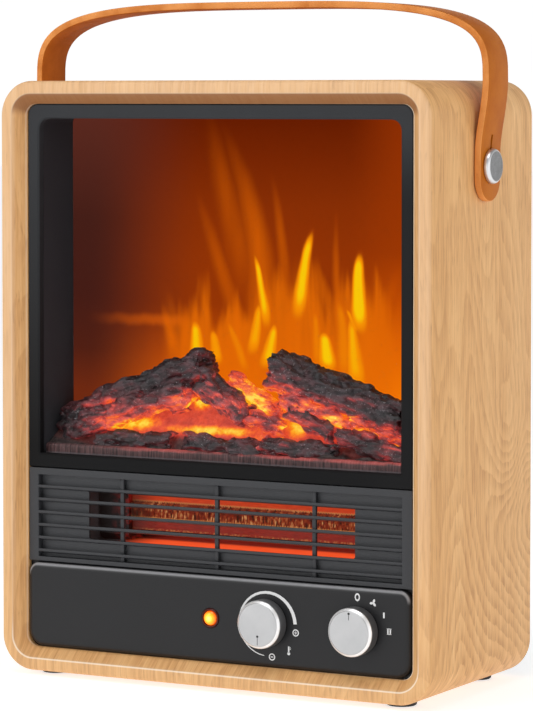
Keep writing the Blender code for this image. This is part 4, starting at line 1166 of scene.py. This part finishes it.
marks = {
    "thick": 0.00012,
    # crescent round the thermostat knob: shift from its middle, radius, first and last degrees, widths
    "arc": (0.0012, -0.0006, 0.0178, 186, 446, 0.0004, 0.0021), "arcSteps": 26,
    # each mark: knob, radius and degrees round it, its bars (aside, lift, length, width, degrees)
    "list": (
        ("thermostat", 0.0192, 167, ((0, 0, 0.0017, 0.0005, 0),)),
        ("thermostat", 0.0197, 102, ((0, 0, 0.0017, 0.0005, 0), (0, 0, 0.0017, 0.0005, 90))),
        ("thermostat", 0.0207, 134, ((0, 0.0006, 0.0036, 0.0009, 90),
                                     (0.0010, 0.0016, 0.0007, 0.0003, 0),
                                     (0.0010, 0.0008, 0.0007, 0.0003, 0))),
        ("mode", 0.0186, 2, ()),
        ("mode", 0.0192, 33, ()),
        ("mode", 0.0196, 60, ((0, 0, 0.0031, 0.0010, 90),)),
        ("mode", 0.0202, 87, ((-0.00075, 0, 0.0031, 0.0008, 90), (0.00075, 0, 0.0031, 0.0008, 90),
                              (0, -0.0015, 0.0027, 0.0004, 0), (0, 0.0015, 0.0027, 0.0004, 0)))),
    "ring": (0.0017, 0.0006), "bulb": 0.0009, "bulbDrop": 0.0016,
    "zero": (0.00125, 0.0007), "zeroTall": 1.4, "leaf": 0.0011, "leafThin": 0.62}


def placed(piece, place, scale=(1, 1, 1), degrees=0):
    piece.scale = scale
    piece.rotation_euler = (0, math.radians(degrees), 0)
    piece.location = place
    settle()
    return piece


def addBar(place, length, width, degrees):
    size = Vector((length, marks["thick"], width)) / 2
    return placed(addBlock("printBar", -size, size), place, degrees=degrees)


def addRing(place, radius, width, tall=1.0):
    half = marks["thick"] / 2
    inner, outer = radius - width / 2, radius + width / 2
    rings = [(inner, -half), (outer, -half), (outer, half), (inner, half), (inner, -half)]
    return placed(turnPiece("printRing", rings, (0, 0), "Y", 28), place, (1, 1, tall))


def addDisc(name, radius, place, lift=0.0, thin=1.0, degrees=0, sides=20):
    half = marks["thick"] / 2
    disc = addRod(name, radius, (0, lift), "Y", -half, half, sides)
    return placed(disc, place, (thin, 1, 1), degrees)


def addArc(place, radius, start, end, thin, thick):
    # a flat strip bent into a crescent that widens along its way
    clearSelection()
    bpy.ops.mesh.primitive_grid_add(x_subdivisions=marks["arcSteps"], y_subdivisions=1, size=1)
    arc = named("printArc")
    for corner in arc.data.vertices:
        share = corner.co.x + 0.5
        turn = math.radians(start + (end - start) * share)
        reach = radius + (thin + (thick - thin) * share) * corner.co.y
        corner.co = (math.sin(turn) * reach, 0, math.cos(turn) * reach)
    applyModifier(arc, "SOLIDIFY", "thickness", thickness=marks["thick"], offset=0.0)
    return placed(arc, place)


def makeMarks():
    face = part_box("control_panel")[0].y
    shiftX, shiftZ, *shape = marks["arc"]
    heat = middleOf("thermostat_knob")
    pieces = [addArc((heat.x + shiftX, face, heat.z + shiftZ), *shape)]
    places = []
    for dial, radius, degrees, bars in marks["list"]:
        middle = middleOf(dial + "_knob")
        turn = math.radians(degrees)
        place = Vector((middle.x + radius * math.sin(turn), face, middle.z + radius * math.cos(turn)))
        places.append(place)
        for aside, lift, length, width, slant in bars:
            pieces.append(addBar(place + Vector((aside, 0, lift)), length, width, slant))
    minus, plus, stem, off, fan = places[:5]
    pieces += [addRing(minus, *marks["ring"]), addRing(plus, *marks["ring"])]
    pieces.append(addDisc("printBulb", marks["bulb"], stem - Vector((0, 0, marks["bulbDrop"]))))
    pieces.append(addRing(off, *marks["zero"], marks["zeroTall"]))
    for degrees in (20, 140, 260):
        pieces.append(addDisc("printLeaf", marks["leaf"], fan, marks["leaf"], marks["leafThin"],
                              degrees, 18))
    dress(joinPieces(pieces, "dialMarks"), printFinish(), "casing", "white_nylon")


lamp = {
    # profiles of the ring and the lens: radius, and how far behind the front
    "ring": ((0.0046, 0.0004), (0.0047, 0.0001), (0.0050, 0.0), (0.0053, 0.0002)), "ringRound": 0.0006,
    "lens": ((0.0006, 0.0), (0.0015, 0.00008), (0.0024, 0.0003), (0.0032, 0.0007),
             (0.0038, 0.0012), (0.0042, 0.0019), (0.0043, 0.0026))}


def makeLamp():
    low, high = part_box("indicator_holder")
    centre = middleOf("indicator_holder").xz
    outer = (high.x - low.x) / 2
    shoulder = (outer, low.y + lamp["ringRound"])
    rings = [shoulder, (outer, high.y), (lamp["ring"][0][0], high.y)]
    rings += [(radius, low.y + drop) for radius, drop in lamp["ring"]] + [shoulder]
    ring = turnPiece("lampRing", rings, centre, "Y", 48)
    dress(ring, plasticFinish("smokedRing", (74, 26, 20), 0.3, 1800, 0.00002, (110, 50, 40)),
          "casing", "dark_plastic", "indicator_holder")
    low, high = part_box("indicator_lens")
    rings = [(radius, low.y + drop) for radius, drop in lamp["lens"]]
    rings.append((lamp["lens"][-1][0], high.y))
    lens = turnPiece("lampLens", rings, centre, "Y", 48, 60)
    dress(lens, finishes["lamp_amber"], "casing", "lamp_amber", "indicator_lens")


makeGrille()
makePanel()
knobMetal = knobFinish()
for dial in knob["pointers"]:
    makeKnob(dial, knobMetal)
makeMarks()
makeLamp()
print("grille, panel, dials and lamp done")


# The heating core's fins

fins = {"pitch": 0.0016, "sheet": 0.00022, "ripple": 0.0006}


def makeFins():
    low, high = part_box("ptc_fins")
    count = int((high.x - low.x) / fins["pitch"])
    leaf = addBlock("finLeaf", (low.x, low.y, low.z), (low.x + fins["sheet"], high.y, high.z))
    startEdit(leaf)
    bpy.ops.mesh.select_all(action="SELECT")
    bpy.ops.mesh.bisect(plane_co=(0, 0, (low.z + high.z) / 2), plane_no=(0, 0, 1))
    bpy.ops.mesh.select_all(action="DESELECT")
    middle = (low.z + high.z) / 2
    pickCorners(leaf, lambda spot: abs(spot.z - middle) < 0.0001)
    bpy.ops.transform.translate(value=(fins["ripple"], 0, 0))
    endEdit()
    crest = addBlock("finCrest", (low.x, low.y + 0.0002, high.z - 0.0003),
                     (low.x + fins["pitch"] / 2, high.y, high.z))
    trough = addBlock("finTrough", (low.x + fins["pitch"] / 2, low.y + 0.0002, low.z),
                      (low.x + fins["pitch"], high.y, low.z + 0.0003))
    second = copyOf(leaf, (fins["pitch"] / 2, 0, 0))
    fold = joinPieces([leaf, crest, second, trough], "foldedFins")
    applyModifier(fold, "ARRAY", "folds", count=count, use_relative_offset=False,
                  use_constant_offset=True, constant_offset_displace=(fins["pitch"], 0, 0))
    dress(fold, finishes["fin_aluminium"], "casing", "fin_aluminium", "ptc_fins")


makeFins()
print("heating core done")


# The charred logs and the ember bed

logs = {
    # each log: start (x, depth, height) and radius, end and radius, heat it holds
    "list": (
        ((-0.112, 0.0335, 0.1425), 0.0080, (-0.022, 0.0340, 0.1780), 0.0096, 0.42),
        ((-0.106, 0.0280, 0.1390), 0.0074, (-0.030, 0.0285, 0.1640), 0.0086, 0.45),
        ((-0.017, 0.0255, 0.1690), 0.0082, (0.009, 0.0250, 0.1525), 0.0074, 0.25),
        ((-0.003, 0.0340, 0.1690), 0.0060, (0.028, 0.0320, 0.1515), 0.0070, 1.00),
        ((0.028, 0.0325, 0.1765), 0.0112, (0.104, 0.0325, 0.1535), 0.0102, 0.30),
        ((0.034, 0.0280, 0.1630), 0.0066, (0.076, 0.0275, 0.1480), 0.0056, 0.75),
        ((0.040, 0.0260, 0.1555), 0.0064, (0.064, 0.0255, 0.1440), 0.0060, 0.30),
        ((0.013, 0.0240, 0.1500), 0.0044, (0.033, 0.0240, 0.1460), 0.0044, 0.70),
        ((0.078, 0.0300, 0.1510), 0.0054, (0.108, 0.0300, 0.1400), 0.0054, 0.55),
        ((0.072, 0.0235, 0.1420), 0.0056, (0.110, 0.0230, 0.1340), 0.0052, 0.30),
        ((0.023, 0.0225, 0.1355), 0.0056, (0.069, 0.0223, 0.1330), 0.0052, 0.25),
        ((-0.026, 0.0225, 0.1350), 0.0052, (0.019, 0.0225, 0.1322), 0.0050, 0.22),
        ((-0.086, 0.0230, 0.1330), 0.0046, (-0.037, 0.0227, 0.1342), 0.0052, 0.22),
        ((-0.038, 0.0280, 0.1530), 0.0032, (-0.031, 0.0280, 0.1545), 0.0032, 0.40),
        ((-0.110, 0.0300, 0.1300), 0.0070, (-0.099, 0.0315, 0.1490), 0.0085, 0.05)),
    "stretch": 1.8, "voxel": 0.0009}


bark = {
    "lumps": {"kind": "CLOUDS", "size": 0.0085, "depth": 2, "lift": 0.0070, "level": 0.55},
    "plates": {"kind": "VORONOI", "size": 0.0045, "lift": 0.0042, "level": 0.5},
    "ridges": {"kind": "CLOUDS", "size": 0.0022, "depth": 3, "lift": 0.0030, "level": 0.5}}

for name, layer in bark.items():
    layer["texture"] = bpy.data.textures.new(name, layer["kind"])
    layer["texture"].noise_scale = layer["size"]
    if "depth" in layer:
        layer["texture"].noise_depth = layer["depth"]


def makeLog(number, start, startR, end, endR, heat):
    a = Vector((start[0], back(start[1]), up(start[2])))
    b = Vector((end[0], back(end[1]), up(end[2])))
    length = (b - a).length + (startR + endR) * 0.35
    clearSelection()
    bpy.ops.mesh.primitive_cylinder_add(vertices=28, radius=startR, depth=length / logs["stretch"],
                                        location=(0, 0, 0.1 * number))
    settle()
    log = named("charLog_%02d" % number)
    startEdit(log)
    pickFaces(log, lambda mid, normal: normal.z > 0.99)
    bpy.ops.transform.resize(value=(endR / startR, endR / startR, 1),
                             center_override=(0, 0, 0.1 * number))
    pickFaces(log, lambda mid, normal: abs(normal.z) > 0.99)
    bpy.ops.mesh.inset(thickness=min(startR, endR) * 0.45)
    bpy.ops.mesh.select_more()
    endEdit()
    applyModifier(log, "REMESH", "evenMesh", mode="VOXEL", voxel_size=logs["voxel"])
    for name, layer in bark.items():
        applyModifier(log, "DISPLACE", name, texture=layer["texture"], strength=layer["lift"],
                      texture_coords="LOCAL", mid_level=layer["level"])
    way = (b - a).normalized()
    side = way.cross(Vector((0, 1, 0))).normalized()
    turn = Matrix((side, way.cross(side), way)).transposed().to_4x4()
    log.matrix_world = (Matrix.Translation((a + b) / 2) @ turn
                        @ Matrix.Diagonal((1, 1, logs["stretch"], 1))
                        @ Matrix.Translation((0, 0, -0.1 * number)))
    settle()
    bpy.ops.object.shade_smooth()
    warmLog(log, heat)
    dress(log, charredWood, "casing", "charred_wood")


embers = {
    "front": 0.0179, "deep": 0.0278, "foot": 0.1305, "grid": (190, 34), "sheet": 0.0020,
    "lipFront": 0.0155, "lipBack": 0.0200, "lipLow": 0.1248, "lipHigh": 0.1306, "lipRound": 0.0018,
    # each hot place: x, height, half width, half height, strength
    "hot": ((-0.066, 0.1435, 0.018, 0.0050, 1.35), (-0.024, 0.1480, 0.026, 0.0085, 0.72),
            (-0.013, 0.1412, 0.034, 0.0028, 1.40), (-0.026, 0.1572, 0.009, 0.0065, 1.35),
            (0.012, 0.1630, 0.020, 0.0130, 1.35), (0.040, 0.1465, 0.010, 0.0075, 1.30),
            (0.088, 0.1465, 0.013, 0.0036, 1.25), (0.070, 0.1520, 0.010, 0.0036, 1.30),
            (0.054, 0.1590, 0.012, 0.0036, 1.15), (0.036, 0.1670, 0.012, 0.0040, 0.9),
            (-0.050, 0.1500, 0.020, 0.0065, 0.72), (0.016, 0.1400, 0.013, 0.0055, 0.95),
            (-0.078, 0.1540, 0.022, 0.0060, 0.75), (0.104, 0.1400, 0.009, 0.0055, 0.9),
            (0.058, 0.1420, 0.014, 0.0050, 0.75), (0.030, 0.1590, 0.008, 0.0080, 0.9),
            (0.084, 0.1620, 0.018, 0.0030, 0.55), (0.000, 0.1300, 0.110, 0.0040, 0.30))}


def warmth(spot):
    # how hot a place is, from the list of hot places
    total = 0.0
    height = spot.z - underside
    for x, middle, wide, tall, strength in embers["hot"]:
        reach = ((spot.x - x) / wide) ** 2 + ((height - middle) / tall) ** 2
        total = max(total, strength * (0.74 * math.exp(-reach * 0.8) + 0.26 * math.exp(-reach * 0.16)))
    return total


def warmLog(log, heat):
    values = []
    for corner in log.data.vertices:
        spot, normal = corner.co, corner.normal
        rough = noise.noise(spot * 120) * 0.5 + 0.5
        under = max(0.0, 0.25 - normal.z * 0.75)
        value = warmth(spot) * (under * 0.7 + heat * 0.75) * (0.5 + rough)
        values.append(min(value + heat * 0.08 * rough, 1.1))
    markCorners(log, "heat", values)


def makeBed():
    low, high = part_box("log_bed")
    clearSelection()
    across, deep = embers["grid"]
    bpy.ops.mesh.primitive_grid_add(x_subdivisions=across, y_subdivisions=deep, size=1,
                                    location=(0, back(embers["front"] + embers["deep"] / 2), up(0.132)))
    bpy.context.object.scale = (high.x - low.x, embers["deep"], 1)
    settle()
    bed = named("emberBedding")
    for corner in bed.data.vertices:
        share = (corner.co.y - back(embers["front"])) / embers["deep"]
        x = corner.co.x
        middle = math.exp(-((x + 0.010) / 0.075) ** 4) * 0.015 + 0.012
        left = max(0.0, 1 - (x + 0.117) / 0.026)
        lump = noise.noise(Vector((x * 90, corner.co.y * 140, 1.7))) * 0.0026
        lump += noise.noise(Vector((x * 260, corner.co.y * 300, 5.1))) * 0.0012
        lift = middle * min(1.0, max(0.0, share * 1.5 - 0.2)) + lump * (1 - left)
        corner.co.z = up(embers["foot"]) + lift * (1 - left) + left * share * 0.016
    applyModifier(bed, "SOLIDIFY", "thickness", thickness=embers["sheet"], offset=-1.0)
    bpy.ops.object.shade_smooth()
    values = []
    for corner in bed.data.vertices:
        share = min(1.0, max(0.0, (corner.co.y - back(0.0205)) / 0.004))
        values.append(warmth(corner.co) * share)
    markCorners(bed, "heat", values)
    dress(bed, emberFinish(), "casing", "charred_wood")
    lip = addBlock("bedFrontLip", (low.x, back(embers["lipFront"]), up(embers["lipLow"])),
                   (high.x, back(embers["lipBack"]), up(embers["lipHigh"])))
    startEdit(lip)
    pickEdges(lip, lambda mid, way: abs(way.x) > 0.99 and mid.z > up(0.128) and mid.y < back(0.017))
    bpy.ops.mesh.bevel(offset=embers["lipRound"], segments=4)
    bpy.ops.mesh.select_all(action="SELECT")
    bpy.ops.mesh.subdivide(number_cuts=2)
    endEdit(40)
    dress(lip, lipFinish(), "casing", "charred_wood")
    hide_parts("log_bed")


makeBed()
for number, (start, startR, end, endR, heat) in enumerate(logs["list"], start=1):
    makeLog(number, start, startR, end, endR, heat)
print("logs and embers done")


# The floor, the lights and the camera

studio = {"key": 18.5, "fill": 5.0, "top": 14.0, "horizon": 1.02, "zenith": 0.30, "floorGlow": 0.72}


def makeFloor():
    finish = Finish("studioFloor")
    slow = finish.cloud(3, 2, 0.5)
    pale = finish.blend(slow * 0.2, (196, 196, 196), (190, 190, 191))
    glow = finish.blend(slow * 0.2, (250, 250, 250), (246, 246, 247))
    material = finish.surface(pale, 0.7 + slow * 0.1, light=glow, strength=studio["floorGlow"])
    clearSelection()
    bpy.ops.mesh.primitive_plane_add(size=24, location=(0, 0, -0.0002))
    settle()
    floor = named("studioFloor")
    floor.data.materials.append(material)


def addLight(name, place, target, width, height, power):
    light = bpy.data.lights.new(name, "AREA")
    light.shape = "RECTANGLE"
    light.size = width
    light.size_y = height
    light.energy = power
    stand = bpy.data.objects.new(name, light)
    stand.location = place
    stand.rotation_euler = (Vector(target) - Vector(place)).to_track_quat("-Z", "Y").to_euler()
    bpy.context.scene.collection.objects.link(stand)


def makeStudio():
    world = bpy.data.worlds.new("studioWorld")
    world.use_nodes = True
    tree = world.node_tree
    sky = tree.nodes["Background"]
    place = tree.nodes.new("ShaderNodeTexCoord")
    parts = tree.nodes.new("ShaderNodeSeparateXYZ")
    fade = tree.nodes.new("ShaderNodeMapRange")
    fade.interpolation_type = "SMOOTHSTEP"
    for socket, value in (("From Min", 0.12), ("From Max", 0.55), ("To Min", studio["horizon"]),
                          ("To Max", studio["zenith"])):
        fade.inputs[socket].default_value = value
    tree.links.new(place.outputs["Generated"], parts.inputs[0])
    tree.links.new(parts.outputs["Z"], fade.inputs["Value"])
    tree.links.new(fade.outputs[0], sky.inputs["Strength"])
    sky.inputs["Color"].default_value = (1.0, 1.0, 1.0, 1.0)
    bpy.context.scene.world = world
    middle = (0, 0, 0.18)
    addLight("keyLight", (-1.3, -2.3, 1.5), middle, 1.6, 1.2, studio["key"])
    addLight("sideLight", (2.4, -0.5, 0.9), middle, 1.4, 1.4, studio["fill"])
    addLight("topLight", (0.1, -0.7, 2.1), middle, 1.6, 0.9, studio["top"])


camera = {"place": (0.92564, -1.67917, 0.33259), "pan": 28.844, "pitch": -2.583,
          "lens": 169.146, "shift": -0.15}


def makeCamera():
    data = bpy.data.cameras.new("studioCamera")
    data.sensor_width = 36
    data.lens = camera["lens"]
    data.shift_y = camera["shift"]
    data.clip_start = 0.05
    data.clip_end = 60
    view = bpy.data.objects.new("studioCamera", data)
    view.location = camera["place"]
    view.rotation_euler = (math.radians(90 + camera["pitch"]), 0, math.radians(camera["pan"]))
    bpy.context.scene.collection.objects.link(view)
    bpy.context.scene.camera = view


makeFloor()
makeStudio()
makeCamera()
print("studio done")
